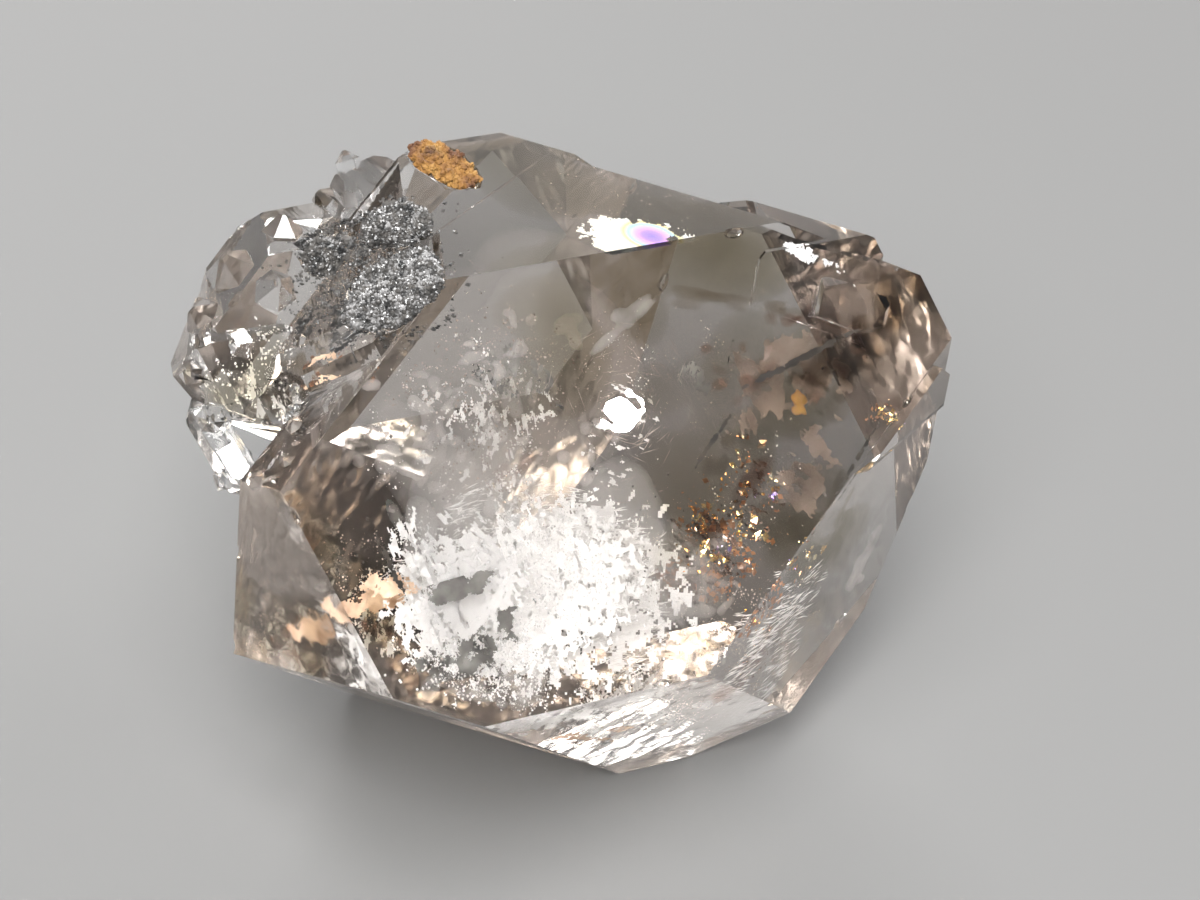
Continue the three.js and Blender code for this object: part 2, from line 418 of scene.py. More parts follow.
# %% Quartz: chips and edges
EDGE_WIDTH = 0.08 * MM
CHIPS = 90
dice = random.Random(12)


def knocked_edges(thing, steepest):
    """The ends of every edge that juts out with more than steepest degrees between its faces."""
    work = bmesh.new()
    work.from_mesh(thing.data)
    juts = [e for e in work.edges if e.is_convex and e.calc_face_angle(0) > math.radians(steepest)]
    ends = [(e.verts[0].co.copy(), e.verts[1].co.copy(), e.calc_length()) for e in juts]
    work.free()
    return ends


edges = knocked_edges(quartz, 28)
chips = []
for first, second, length in dice.choices(edges, weights=[e[2] for e in edges], k=CHIPS):
    size = (0.10 + 0.42 * dice.random() ** 3) * MM
    bpy.ops.mesh.primitive_ico_sphere_add(subdivisions=2, radius=size)
    chip = bpy.context.object
    chip.scale = (1.0, 0.55, 1.6)
    spot = first.lerp(second, dice.uniform(0.04, 0.96)) + Vector([dice.uniform(-1, 1) for _ in range(3)]) * size * 0.5
    chips.append(put(chip, spot / MM, second - first, dice.uniform(0, 360)))
chips = join(chips)
apply_modifier(quartz, "BOOLEAN", operation="DIFFERENCE", solver="EXACT", use_self=True, object=chips)
remove(chips)
apply_modifier(quartz, "BEVEL", width=EDGE_WIDTH, segments=2, limit_method="ANGLE",
               angle_limit=math.radians(24), use_clamp_overlap=True)
print("quartz", len(quartz.data.polygons), "faces with", CHIPS, "chips")

# %% [markdown]
# ## Quartz material
# Clear smoky quartz is plain glass with an index of 1.544 and a brown absorption that deepens with the
# light's path. Surfaces differ only in how well they are polished. Two numbers are kept on each face of
# the mesh: etch says how rough the face grew, with the sheltered underside roughest, and growth is 1 on the
# prism faces, where fine growth lines run across, at right angles to the c axis.

# %% Quartz material
GROWTH_LINES = 900
quartz_look, tree, shader = new_material("clear_smoky_quartz", (1, 1, 1), 0.0)
shader.inputs["Transmission Weight"].default_value = 1
shader.inputs["IOR"].default_value = 1.544
absorb = tree.nodes.new("ShaderNodeVolumeAbsorption")
absorb.inputs["Color"].default_value = (0.71, 0.63, 0.56, 1)
absorb.inputs["Density"].default_value = 42
tree.links.new(absorb.outputs[0], tree.nodes["Material Output"].inputs["Volume"])


def object_pattern(tree, kind, scale, turn=(0, 0, 0), stretch=(1, 1, 1), **inputs):
    """A procedural texture on Object coordinates."""
    place = tree.nodes.new("ShaderNodeTexCoord")
    mapping = tree.nodes.new("ShaderNodeMapping")
    mapping.inputs["Rotation"].default_value = turn
    mapping.inputs["Scale"].default_value = stretch
    texture = tree.nodes.new(kind)
    texture.inputs["Scale"].default_value = scale
    for key, value in inputs.items():
        texture.inputs[key.replace("_", " ")].default_value = value
    tree.links.new(place.outputs["Object"], mapping.inputs["Vector"])
    tree.links.new(mapping.outputs["Vector"], texture.inputs["Vector"])
    return texture


def bump(tree, shader, height, strength, depth, below=None):
    """Adds a bump of that height socket, on top of another bump if there is one."""
    node = tree.nodes.new("ShaderNodeBump")
    node.inputs["Strength"].default_value = strength
    node.inputs["Distance"].default_value = depth
    tree.links.new(height, node.inputs["Height"])
    if below:
        tree.links.new(below.outputs[0], node.inputs["Normal"])
    tree.links.new(node.outputs[0], shader.inputs["Normal"])
    return node


def face_numbers(thing, name, value_of):
    """Keeps one number a face on the mesh, as value_of gives it."""
    numbers = thing.data.attributes.new(name, "FLOAT", "FACE")
    for face, number in zip(thing.data.polygons, numbers.data):
        number.value = value_of(face)


def read_number(tree, name, low, high):
    """A node that turns a number kept on the mesh, 0 to 1, into low to high."""
    kept = tree.nodes.new("ShaderNodeAttribute")
    kept.attribute_name = name
    spread = tree.nodes.new("ShaderNodeMapRange")
    spread.inputs["To Min"].default_value = low
    spread.inputs["To Max"].default_value = high
    tree.links.new(kept.outputs["Fac"], spread.inputs["Value"])
    return spread.outputs[0]


def etch_of(face):
    if face.normal.z < -0.02:
        return 1.0
    broad = face.normal.dot(BIG_FACE) > 0.995 or face.normal.dot(TOP_FACE) > 0.995
    return 0.02 if broad else 0.07


face_numbers(quartz, "etch", etch_of)
face_numbers(quartz, "growth", lambda face: 1.0 if abs(face.normal.dot(C_AXIS)) < 0.06 else 0.0)
tree.links.new(read_number(tree, "etch", 0.0, 0.14), shader.inputs["Roughness"])
pits = object_pattern(tree, "ShaderNodeTexNoise", 520, Detail=1.0)
etched = bump(tree, shader, pits.outputs[0], 0.0, 0.3 * MM)
tree.links.new(read_number(tree, "etch", 0.0, 0.55), etched.inputs["Strength"])
across = C_AXIS.to_track_quat("X", "Z").to_matrix().transposed().to_euler()
lines = object_pattern(tree, "ShaderNodeTexWave", GROWTH_LINES, across, Distortion=3.0, Detail=1.0)
lined = bump(tree, shader, lines.outputs[1], 0.0, 0.05 * MM, etched)
tree.links.new(read_number(tree, "growth", 0.0, 0.05), lined.inputs["Strength"])
finish_piece(quartz, "crystal", quartz_look, ["quartz_crystal"])

# %% [markdown]
# ## Inside the crystal
# Healed cracks leave veils: ragged sheets of tiny bubbles that look milky where they are thick and like
# wisps where they are thin. A grid is torn with a noise test, bent with a Displace modifier and cut back to
# what lies inside the quartz. The same sheet makes the milky heart, the mirror-bright cracks and, covered
# with grains and then thrown away, every cloud of specks. Laid on the surface with a Shrinkwrap modifier,
# it is the ground for soot and dust.

# %% Ragged sheets
inside_tree = BVHTree.FromObject(quartz, bpy.context.evaluated_depsgraph_get())
SKIN = 0.30 * MM


def outside(place):
    """True for a place that isn't at least SKIN under the surface of the quartz."""
    near, normal, _, distance = inside_tree.find_nearest(place)
    return (place - near).dot(normal) > 0 or distance < SKIN


def ragged_sheet(centre, faces, size, aspect=1.0, turn=0.0, bend=1.0, tear=0.0, rag=1.6, streak=1.0,
                 cell=0.2, seed=1, laid=False):
    """A torn, bent sheet in mm whose normal points along faces. tear goes from -1, whole, to 1, gone; rag is
    the size of the tears and streak how many times longer than wide they are."""
    rows = [max(6, int(size / cell)), max(6, int(size * aspect / cell))]
    bpy.ops.mesh.primitive_grid_add(x_subdivisions=rows[0], y_subdivisions=rows[1], size=1)
    sheet = bpy.context.object
    bpy.ops.object.mode_set(mode="EDIT")
    bpy.ops.transform.resize(value=(size * MM, size * aspect * MM, 1))
    bpy.ops.object.mode_set(mode="OBJECT")
    torn = []
    for face in sheet.data.polygons:
        x, y = face.center.x / MM, face.center.y / MM
        rim = math.hypot(2 * x / size, 2 * y / (size * aspect))
        thickness = noise.fractal(Vector((x, y / streak, seed * 7.3)) / rag, 0.7, 2.0, 5)
        torn.append(thickness < tear + 2.2 * max(0.0, rim - 0.55))
    clouds = bpy.data.textures.new("sheet_bend", "CLOUDS")
    clouds.noise_scale = size * 0.35 * MM
    sheet.location = (seed * 0.137, seed * 0.071, 0)
    apply_modifier(sheet, "DISPLACE", texture=clouds, texture_coords="GLOBAL", strength=bend * MM, mid_level=0.5)
    put(sheet, centre, faces, turn)
    if laid:
        apply_modifier(sheet, "SHRINKWRAP", target=quartz, wrap_method="NEAREST_SURFACEPOINT", offset=0.02 * MM)
    else:
        torn = [gone or outside(face.center) for gone, face in zip(torn, sheet.data.polygons)]
    select_faces(sheet, torn)
    bpy.ops.mesh.delete(type="FACE")
    bpy.ops.object.mode_set(mode="OBJECT")
    return sheet


def thin_sheets(rows):
    """Makes each row a ragged sheet a hair thick, and joins them."""
    sheets = []
    for number, row in enumerate(rows):
        sheet = ragged_sheet(**row, seed=number + 3)
        apply_modifier(sheet, "SOLIDIFY", thickness=0.012 * MM, offset=0)
        sheets.append(sheet)
    return join(sheets)


def grain_clouds(rows, grain, seed):
    """Covers a ragged sheet for each row with grains, throws the sheet away and joins the grains."""
    clouds = []
    for number, (row, crowd, sizes) in enumerate(rows):
        sheet = ragged_sheet(**row, seed=seed + number)
        if not sheet.data.polygons:
            print("nothing left of sheet", number, "of seed", seed)
        spin = 0.25 if grain is NEEDLE else math.pi
        clouds.append(scatter(sheet, grain, crowd, sizes, seed + 10 * number, 0.6, 3.0, spin))
        remove(sheet)
    return join(clouds)


def mottled(name, low, high, scale, roughness, grip=0.4):
    """A material whose colour drifts between two tones, with a fine bump."""
    material, tree, shader = new_material(name, low, roughness)
    drift = object_pattern(tree, "ShaderNodeTexNoise", scale, Detail=4.0)
    ramp = tree.nodes.new("ShaderNodeValToRGB")
    ramp.color_ramp.elements[0].color = (*low, 1)
    ramp.color_ramp.elements[1].color = (*high, 1)
    ramp.color_ramp.elements[0].position = 0.35
    ramp.color_ramp.elements[1].position = 0.65
    tree.links.new(drift.outputs[0], ramp.inputs[0])
    tree.links.new(ramp.outputs[0], shader.inputs["Base Color"])
    fine = object_pattern(tree, "ShaderNodeTexNoise", scale * 3, Detail=3.0)
    bump(tree, shader, fine.outputs[0], grip, 0.05 * MM)
    return material, tree, shader, ramp.color_ramp

# %% [markdown]
# ### Clouds inside
# The lower middle glows white and fades into a mauve haze, because the quartz is full of bubbles too small to
# see there. Such a cloud is a soft lump with an index of 1, so that its own surface doesn't show, whose
# volume scatters light, or soaks it up where the quartz is browner. A denser cloud lies in a thinner one.

# %% Clouds
def cloud_stuff(name, tint, density, kind="ShaderNodeVolumeScatter"):
    """A finish that bends no light and only scatters it or soaks it up, more where the lump is thicker."""
    material, tree, shader = new_material(name, (1, 1, 1), 0.0)
    shader.inputs["Transmission Weight"].default_value = 1
    shader.inputs["IOR"].default_value = 1.0
    inside = tree.nodes.new(kind)
    inside.inputs["Color"].default_value = (*tint, 1)
    inside.inputs["Density"].default_value = density
    tree.links.new(inside.outputs[0], tree.nodes["Material Output"].inputs["Volume"])
    return material


def cloud(centre, shape, faces, turn, seed, patchy=False):
    """A lump in mm of drifting blobs that lie along its length, fused by a voxel remesh and smoothed. A
    patchy cloud is many small blobs with gaps between them."""
    dice = random.Random(seed)
    blobs = []
    for step in range(44 if patchy else 9):
        where = Vector((dice.uniform(-0.42, 0.42) * shape[0], dice.gauss(0, 0.22) * shape[1],
                        dice.gauss(0, 0.25) * shape[2])) * MM
        bpy.ops.mesh.primitive_ico_sphere_add(subdivisions=3, radius=0.5, location=where)
        blob = bpy.context.object
        wide = dice.uniform(0.35, 0.8)
        blob.scale = (shape[0] * dice.uniform(0.2, 0.5) * MM, shape[1] * wide * MM, shape[2] * wide * MM)
        if patchy:
            blob.scale = [dice.uniform(0.5, 2.6) * MM, dice.uniform(0.4, 1.6) * MM, dice.uniform(0.4, 1.2) * MM]
            blob.rotation_euler = (dice.uniform(0, 3), dice.uniform(0, 3), dice.uniform(0, 3))
        blobs.append(blob)
    lump = join(blobs)
    only(lump)
    bpy.ops.object.transform_apply(location=True, rotation=True, scale=True)
    voxel = 0.2 if patchy else max(0.11, shape[0] / 45)
    apply_modifier(lump, "REMESH", mode="VOXEL", voxel_size=voxel * MM)
    apply_modifier(lump, "SMOOTH", factor=0.8, iterations=6)
    dents = bpy.data.textures.new("cloud_dents", "CLOUDS")
    dents.noise_scale = 0.9 * MM
    lump.location = (seed * 0.113, 0, seed * 0.05)
    apply_modifier(lump, "DISPLACE", texture=dents, texture_coords="GLOBAL", mid_level=0.6,
                   strength=min(0.45, 0.14 * shape[1]) * MM)
    put(lump, centre, faces, turn)
    apply_modifier(lump, "SHRINKWRAP", target=quartz, wrap_method="NEAREST_SURFACEPOINT", wrap_mode="INSIDE",
                   offset=1.4 * SKIN)
    bpy.ops.object.shade_smooth()
    poking = sum(outside(vertex.co) for vertex in lump.data.vertices)
    print("cloud", seed, len(lump.data.polygons), "faces,", poking, "corners outside")
    return lump


finish_piece(cloud((1.4, -7.8, 18.2), (20, 15, 6), (0.43, -0.58, 0.69), -15, 32), "milky_rim",
             cloud_stuff("milky_glow", (0.99, 0.97, 0.955), 100))
finish_piece(cloud((-6.8, -12.4, 21.2), (9.0, 3.0, 1.2), (0.43, -0.58, 0.69), 102, 30), "milky_band",
             cloud_stuff("milky_band", (0.99, 0.96, 0.94), 500))
finish_piece(cloud((21.7, 7.2, 14.2), (4.4, 2.8, 0.9), (0.90, -0.44, 0.07), 60, 40), "pink_corner",
             cloud_stuff("pink_corner", (0.98, 0.90, 0.86), 700))
finish_piece(cloud((-4.0, -4.0, 22.5), (26, 22, 9), (0.43, -0.58, 0.69), 30, 33), "mauve_haze",
             cloud_stuff("mauve_haze", (0.97, 0.92, 0.89), 32))
finish_piece(cloud((2.1, 3.0, 31.9), (6.6, 1.3, 0.6), (0.40, -0.54, 0.74), 27, 37), "pale_wedge",
             cloud_stuff("pale_wedge", (0.96, 0.955, 0.94), 900))
finish_piece(cloud((-6.6, -5.6, 28.8), (17, 11, 2.0), (0.43, -0.58, 0.69), 30, 39, patchy=True), "mauve_patches",
             cloud_stuff("mauve_patches", (0.92, 0.84, 0.81), 460))
finish_piece(cloud((-4.6, -3.6, 24.6), (21, 15, 5), (0.43, -0.58, 0.69), 20, 34, patchy=True), "mottled_haze",
             cloud_stuff("mottled_haze", (0.95, 0.90, 0.88), 420))
finish_piece(cloud((10.0, -6.4, 17.0), (13, 9, 4), (0.44, -0.60, 0.66), 50, 35, patchy=True), "pinkish_haze",
             cloud_stuff("pinkish_haze", (0.98, 0.93, 0.90), 300))
finish_piece(cloud((-1.8, -15.4, 16.2), (11, 4.6, 2.6), (0.43, -0.58, 0.69), -15, 36, patchy=True), "grey_haze",
             cloud_stuff("grey_haze", (0.95, 0.955, 0.95), 260))

# %% [markdown]
# ### The milky heart
# In the middle of the glow the bubbles lie on healed cracks so densely that nothing shows through. Three torn
# sheets make that core. Flakes on four larger sheets, whose streaks point outwards, thin out around it.

# %% Milky heart
milk, tree, shader, _ = mottled("milky_veil", (0.90, 0.89, 0.88), (0.98, 0.975, 0.97), 900, 0.5)
HEART_SHEETS = [
    dict(centre=(0.8, -9.2, 18.6), faces=(0.43, -0.58, 0.69), size=17, aspect=0.68, turn=15, bend=2.0,
         tear=-0.50, rag=0.5, streak=1.3, cell=0.12),
    dict(centre=(2.4, -6.8, 16.8), faces=(0.36, -0.62, 0.69), size=19, aspect=0.74, turn=-10, bend=2.4,
         tear=-0.40, rag=0.6, streak=1.5, cell=0.15),
    dict(centre=(-2.0, -10.2, 17.8), faces=(0.30, -0.66, 0.69), size=19, aspect=0.50, turn=35, bend=2.4,
         tear=-0.10, rag=0.5, streak=2.0, cell=0.14),
]
finish_piece(thin_sheets(HEART_SHEETS), "milky_heart", milk)
# the sheet, then grains to a square mm and their sizes in mm
MIST = [
    (dict(centre=(-1.6, -11.4, 19.4), faces=(0.43, -0.58, 0.69), size=20, aspect=0.60, turn=35, bend=2.4, tear=-0.05,
          rag=0.6, streak=4.0), 34, (0.04, 0.22)),
    (dict(centre=(2.4, -8.0, 19.2), faces=(0.50, -0.52, 0.69), size=20, aspect=0.66, turn=-20, bend=2.4, tear=-0.05,
          rag=0.6, streak=4.0), 34, (0.04, 0.22)),
    (dict(centre=(0.4, -9.8, 18.8), faces=(0.34, -0.64, 0.69), size=22, aspect=0.50, turn=70, bend=2.4, tear=-0.05,
          rag=0.6, streak=4.0), 34, (0.04, 0.22)),
    (dict(centre=(-3.4, -9.2, 19.4), faces=(0.25, -0.68, 0.69), size=19, aspect=0.50, turn=10, bend=2.4, tear=0.0,
          rag=0.6, streak=4.0), 34, (0.04, 0.22)),
    (dict(centre=(-6.9, -12.6, 21.4), faces=(0.43, -0.58, 0.69), size=4.6, aspect=2.3, turn=12, bend=1.2, tear=-0.2,
          rag=0.5, streak=4.0), 50, (0.04, 0.24)),
    (dict(centre=(-0.2, -15.4, 17.4), faces=(0.43, -0.58, 0.69), size=13, aspect=0.5, turn=-16, bend=0.8, tear=-0.3,
          rag=0.6, streak=2.0), 52, (0.05, 0.28)),
]
thin_milk, tree, shader, _ = mottled("thin_milk", (0.90, 0.89, 0.88), (0.98, 0.975, 0.97), 900, 0.5)
shader.inputs["Alpha"].default_value = 0.72
finish_piece(grain_clouds(MIST, FLAKE, 200), "milky_mist", thin_milk)

# %% Wisps
WISPS = [
    dict(centre=(-4.7, -1.6, 25.3), faces=(-0.10, -0.80, 0.60), size=10, aspect=0.9, turn=30, bend=2.5,
         tear=0.36, rag=0.7, streak=2.0, cell=0.08),
    dict(centre=(-7.6, -4.0, 25.0), faces=(0.43, -0.58, 0.69), size=12, aspect=0.8, turn=-30, bend=2.5,
         tear=0.44, rag=0.6, streak=1.5, cell=0.08),
    dict(centre=(-3.2, -4.8, 22.4), faces=(0.30, -0.75, 0.59), size=5, aspect=0.7, turn=10, bend=1.5,
         tear=0.24, rag=0.5, streak=1.5, cell=0.07),
    dict(centre=(3.0, 0.5, 24.6), faces=(0.43, -0.58, 0.69), size=11, aspect=0.7, turn=60, bend=3,
         tear=0.44, rag=0.6, streak=2.5, cell=0.08),
    dict(centre=(8.6, -6.0, 8.8), faces=(0.32, -0.92, 0.21), size=14, aspect=0.36, turn=-10, bend=1.0,
         tear=0.22, rag=0.6, streak=1.5, cell=0.08),
    dict(centre=(-9.6, -10.0, 13.6), faces=(-0.30, -0.85, 0.43), size=12, aspect=0.7, turn=15, bend=2,
         tear=0.32, rag=0.6, streak=2.0, cell=0.08),
    dict(centre=(-18.6, -5.6, 28.0), faces=(0.1, -0.6, 0.8), size=9, aspect=1.0, turn=15, bend=2,
         tear=0.34, rag=0.6, streak=2.0, cell=0.08),
    dict(centre=(12.2, 10.4, 35.2), faces=(0.2, -0.5, 0.85), size=3.4, aspect=0.34, turn=-25, bend=0.3,
         tear=-0.3, rag=0.4, cell=0.06),
    dict(centre=(14.4, 10.9, 34.4), faces=(0.2, -0.5, 0.85), size=2.4, aspect=0.36, turn=-30, bend=0.3,
         tear=-0.1, rag=0.4, cell=0.06),
    dict(centre=(9.3, -9.2, 10.4), faces=(0.55, -0.74, -0.39), size=13, aspect=0.40, turn=-36, bend=0.6,
         tear=0.28, rag=0.5, streak=2.0, cell=0.07),
    dict(centre=(6.6, -11.0, 11.2), faces=(0.20, -0.70, 0.68), size=6, aspect=0.4, turn=-30, bend=0.4,
         tear=0.0, rag=0.4, cell=0.06),
    dict(centre=(10.4, -8.0, 10.6), faces=(0.20, -0.70, 0.68), size=6, aspect=0.4, turn=-30, bend=0.4,
         tear=0.0, rag=0.4, cell=0.06),
    dict(centre=(13.4, -5.6, 10.6), faces=(0.20, -0.70, 0.68), size=5, aspect=0.4, turn=-30, bend=0.4,
         tear=0.0, rag=0.4, cell=0.06),
    dict(centre=(-6.9, -12.6, 21.3), faces=(0.43, -0.58, 0.69), size=4.4, aspect=2.2, turn=12, bend=1.2,
         tear=0.0, rag=0.5, streak=3.0, cell=0.09),
    dict(centre=(-5.2, -12.0, 20.0), faces=(0.36, -0.62, 0.69), size=11, aspect=0.7, turn=40, bend=1.5,
         tear=-0.30, rag=0.6, streak=2.0, cell=0.11),
    dict(centre=(-3.4, -12.4, 19.6), faces=(0.36, -0.62, 0.69), size=11, aspect=0.6, turn=20, bend=1.5,
         tear=-0.40, rag=0.6, streak=2.0, cell=0.11),
]
finish_piece(thin_sheets(WISPS), "wisps", thin_milk)

# %% Grey films
tan_film, tree, shader, _ = mottled("tan_film", (0.12, 0.075, 0.05), (0.34, 0.24, 0.175), 500, 0.3)
shader.inputs["Alpha"].default_value = 0.34
TAN_FILMS = [
    dict(centre=(13.4, 6.4, 28.6), faces=(0.43, -0.58, 0.69), size=13, aspect=0.5, turn=16, bend=1.5,
         tear=-0.30, rag=0.9, streak=2.0, cell=0.12),
    dict(centre=(16.0, 2.4, 24.0), faces=(0.43, -0.58, 0.69), size=9, aspect=0.5, turn=48, bend=1.5,
         tear=-0.20, rag=0.8, streak=2.0, cell=0.12),
]
finish_piece(thin_sheets(TAN_FILMS), "tan_films", tan_film)
film_look, tree, shader, _ = mottled("grey_film", (0.06, 0.055, 0.05), (0.26, 0.25, 0.23), 500, 0.3)
shader.inputs["Alpha"].default_value = 0.75
FILMS = [
    dict(centre=(-3.74, -13.7, 21.5), faces=(0.43, -0.58, 0.69), size=5.4, aspect=0.26, turn=4, bend=0.2,
         tear=-1.0, rag=0.6, cell=0.06),
    dict(centre=(-1.3, -15.2, 18.9), faces=(0.43, -0.58, 0.69), size=9.0, aspect=0.30, turn=28, bend=0.6,
         tear=-0.16, rag=0.8, cell=0.06),
    dict(centre=(-3.4, -17.0, 18.4), faces=(0.43, -0.58, 0.69), size=7.0, aspect=0.5, turn=10, bend=0.6,
         tear=0.10, rag=0.6, cell=0.06),
    dict(centre=(7.2, 4.4, 27.6), faces=(0.43, -0.58, 0.69), size=4.2, aspect=0.5, turn=-40, bend=0.1,
         tear=0.1, rag=0.5, streak=2.0, cell=0.06),
    dict(centre=(-4.4, -2.0, 29.6), faces=(0.43, -0.58, 0.69), size=9.0, aspect=0.6, turn=-20, bend=1.5,
         tear=0.34, rag=0.6, streak=1.5, cell=0.07),
]
finish_piece(thin_sheets(FILMS), "grey_films", film_look)
# Near-black slivers along fracture steps, which show as dark lines in this light: painted shade.
cleft_shade_look, tree, shader, _ = mottled("painted_shade_cleft", (0.010, 0.008, 0.006), (0.050, 0.040, 0.030), 700, 0.4)
CLEFTS = [
    dict(centre=(13.9, 6.2, 30.2), faces=(0.43, -0.58, 0.69), size=10.5, aspect=0.05, turn=14, bend=0.4,
         tear=-0.5, rag=0.5, cell=0.05),
    dict(centre=(9.4, 0.2, 26.4), faces=(0.43, -0.58, 0.69), size=6.5, aspect=0.06, turn=42, bend=0.4,
         tear=-0.3, rag=0.5, cell=0.05),
    dict(centre=(19.0, 4.4, 24.6), faces=(0.43, -0.58, 0.69), size=8.0, aspect=0.05, turn=44, bend=0.4,
         tear=-0.2, rag=0.5, cell=0.05),
    dict(centre=(-8.6, -13.4, 21.4), faces=(0.43, -0.58, 0.69), size=7.0, aspect=0.08, turn=108, bend=0.6,
         tear=-0.1, rag=0.5, cell=0.05),
]
finish_piece(thin_sheets(CLEFTS), "dark_clefts", cleft_shade_look)

# %% [markdown]
# ### Veils and haze
# Around the glow the veils thin out to wisps and single glints. Flakes stand on ragged sheets for these,
# and needles for the streaks near the lower right edge.

# %% Veils and haze
bright, tree, shader, _ = mottled("bright_bubbles", (0.80, 0.78, 0.76), (0.96, 0.95, 0.94), 1200, 0.12)
VEILS = [
    (dict(centre=(-4.7, -1.6, 25.3), faces=(-0.10, -0.80, 0.60), size=10, aspect=0.9, turn=30, bend=2.5, tear=0.18,
          rag=1.4), 22, (0.04, 0.32)),
    (dict(centre=(-7.4, 0.4, 28.4), faces=(0.40, -0.50, 0.77), size=6, aspect=0.6, turn=-20, bend=1.5, tear=0.15,
          rag=1.0), 26, (0.04, 0.36)),
    (dict(centre=(-3.2, -4.8, 22.4), faces=(0.30, -0.75, 0.59), size=5, aspect=0.7, turn=10, bend=1.5, tear=0.0,
          rag=0.8), 40, (0.05, 0.36)),
    (dict(centre=(2.4, 1.8, 26.0), faces=(0.43, -0.58, 0.69), size=14, aspect=0.8, turn=50, bend=3, tear=0.20,
          rag=1.6), 9, (0.03, 0.20)),
    (dict(centre=(-9.0, -4.0, 24.0), faces=(0.30, -0.60, 0.74), size=14, aspect=1.0, turn=0, bend=3, tear=0.12,
          rag=1.6), 12, (0.03, 0.22)),
    (dict(centre=(12.0, 4.0, 20.0), faces=(0.50, -0.60, 0.62), size=14, aspect=0.8, turn=70, bend=3, tear=0.15,
          rag=1.6), 10, (0.03, 0.24)),
    (dict(centre=(8.4, -6.0, 8.6), faces=(0.32, -0.92, 0.21), size=13, aspect=0.45, turn=-10, bend=1.2, tear=-0.2,
          rag=1.0), 60, (0.04, 0.34)),
    (dict(centre=(-9.4, -9.5, 13.4), faces=(-0.30, -0.85, 0.43), size=12, aspect=0.7, turn=15, bend=2, tear=-0.05,
          rag=1.3), 30, (0.04, 0.30)),
    (dict(centre=(-19.0, -6.0, 27.5), faces=(0.1, -0.6, 0.8), size=9, aspect=1.0, turn=15, bend=2, tear=0.05,
          rag=1.3), 22, (0.04, 0.32)),
    (dict(centre=(9.3, -9.0, 10.6), faces=(0.55, -0.74, -0.39), size=13, aspect=0.45, turn=-36, bend=0.6, tear=-0.1,
          rag=0.8), 36, (0.04, 0.32)),
    (dict(centre=(-1.6, -15.6, 16.8), faces=(0.43, -0.58, 0.69), size=10, aspect=0.45, turn=-15, bend=1.0, tear=0.0,
          rag=0.8), 22, (0.04, 0.30)),
]
finish_piece(grain_clouds(VEILS, FLAKE, 20), "healed_veils", bright)
pinkish, tree, shader, _ = mottled("pinkish_grains", (0.20, 0.135, 0.105), (0.78, 0.68, 0.62), 420, 0.3)
shader.inputs["Alpha"].default_value = 0.75
FINE_GRAINS = [
    (dict(centre=(17.0, -1.6, 13.6), faces=(0.90, -0.44, 0.07), size=14, aspect=0.8, turn=60, bend=0.8, tear=0.0,
          rag=0.8, streak=3.0), 12, (0.05, 0.30)),
    (dict(centre=(14.4, -3.6, 13.6), faces=(0.45, -0.60, 0.66), size=15, aspect=0.8, turn=62, bend=2, tear=-0.05,
          rag=0.8, streak=3.0), 34, (0.03, 0.20)),
    (dict(centre=(9.6, -2.4, 16.4), faces=(0.43, -0.58, 0.69), size=11, aspect=0.8, turn=40, bend=2, tear=0.0,
          rag=0.8, streak=2.0), 26, (0.03, 0.18)),
    (dict(centre=(-5.0, -2.6, 27.4), faces=(0.43, -0.58, 0.69), size=21, aspect=0.8, turn=10, bend=3, tear=0.05,
          rag=1.0), 20, (0.05, 0.22)),
    (dict(centre=(-6.0, -5.0, 29.8), faces=(0.43, -0.58, 0.69), size=18, aspect=0.7, turn=30, bend=1.0, tear=0.0,
          rag=0.7), 6, (0.05, 0.28)),
    (dict(centre=(5.0, 5.0, 27.4), faces=(0.43, -0.58, 0.69), size=18, aspect=0.7, turn=-20, bend=2, tear=0.05,
          rag=0.8, streak=3.0), 9, (0.04, 0.16)),
    (dict(centre=(0.0, 10.0, 34.6), faces=(0.0, 0.0, 1.0), size=20, aspect=0.5, turn=15, bend=2, tear=0.05,
          rag=0.8, streak=2.0), 9, (0.04, 0.18)),
    (dict(centre=(-11.6, -11.4, 16.4), faces=(0.1, -0.80, 0.60), size=16, aspect=0.8, turn=30, bend=3, tear=0.0,
          rag=1.0), 20, (0.03, 0.20)),
]
finish_piece(grain_clouds(FINE_GRAINS, FLAKE, 400), "fine_grains", pinkish)
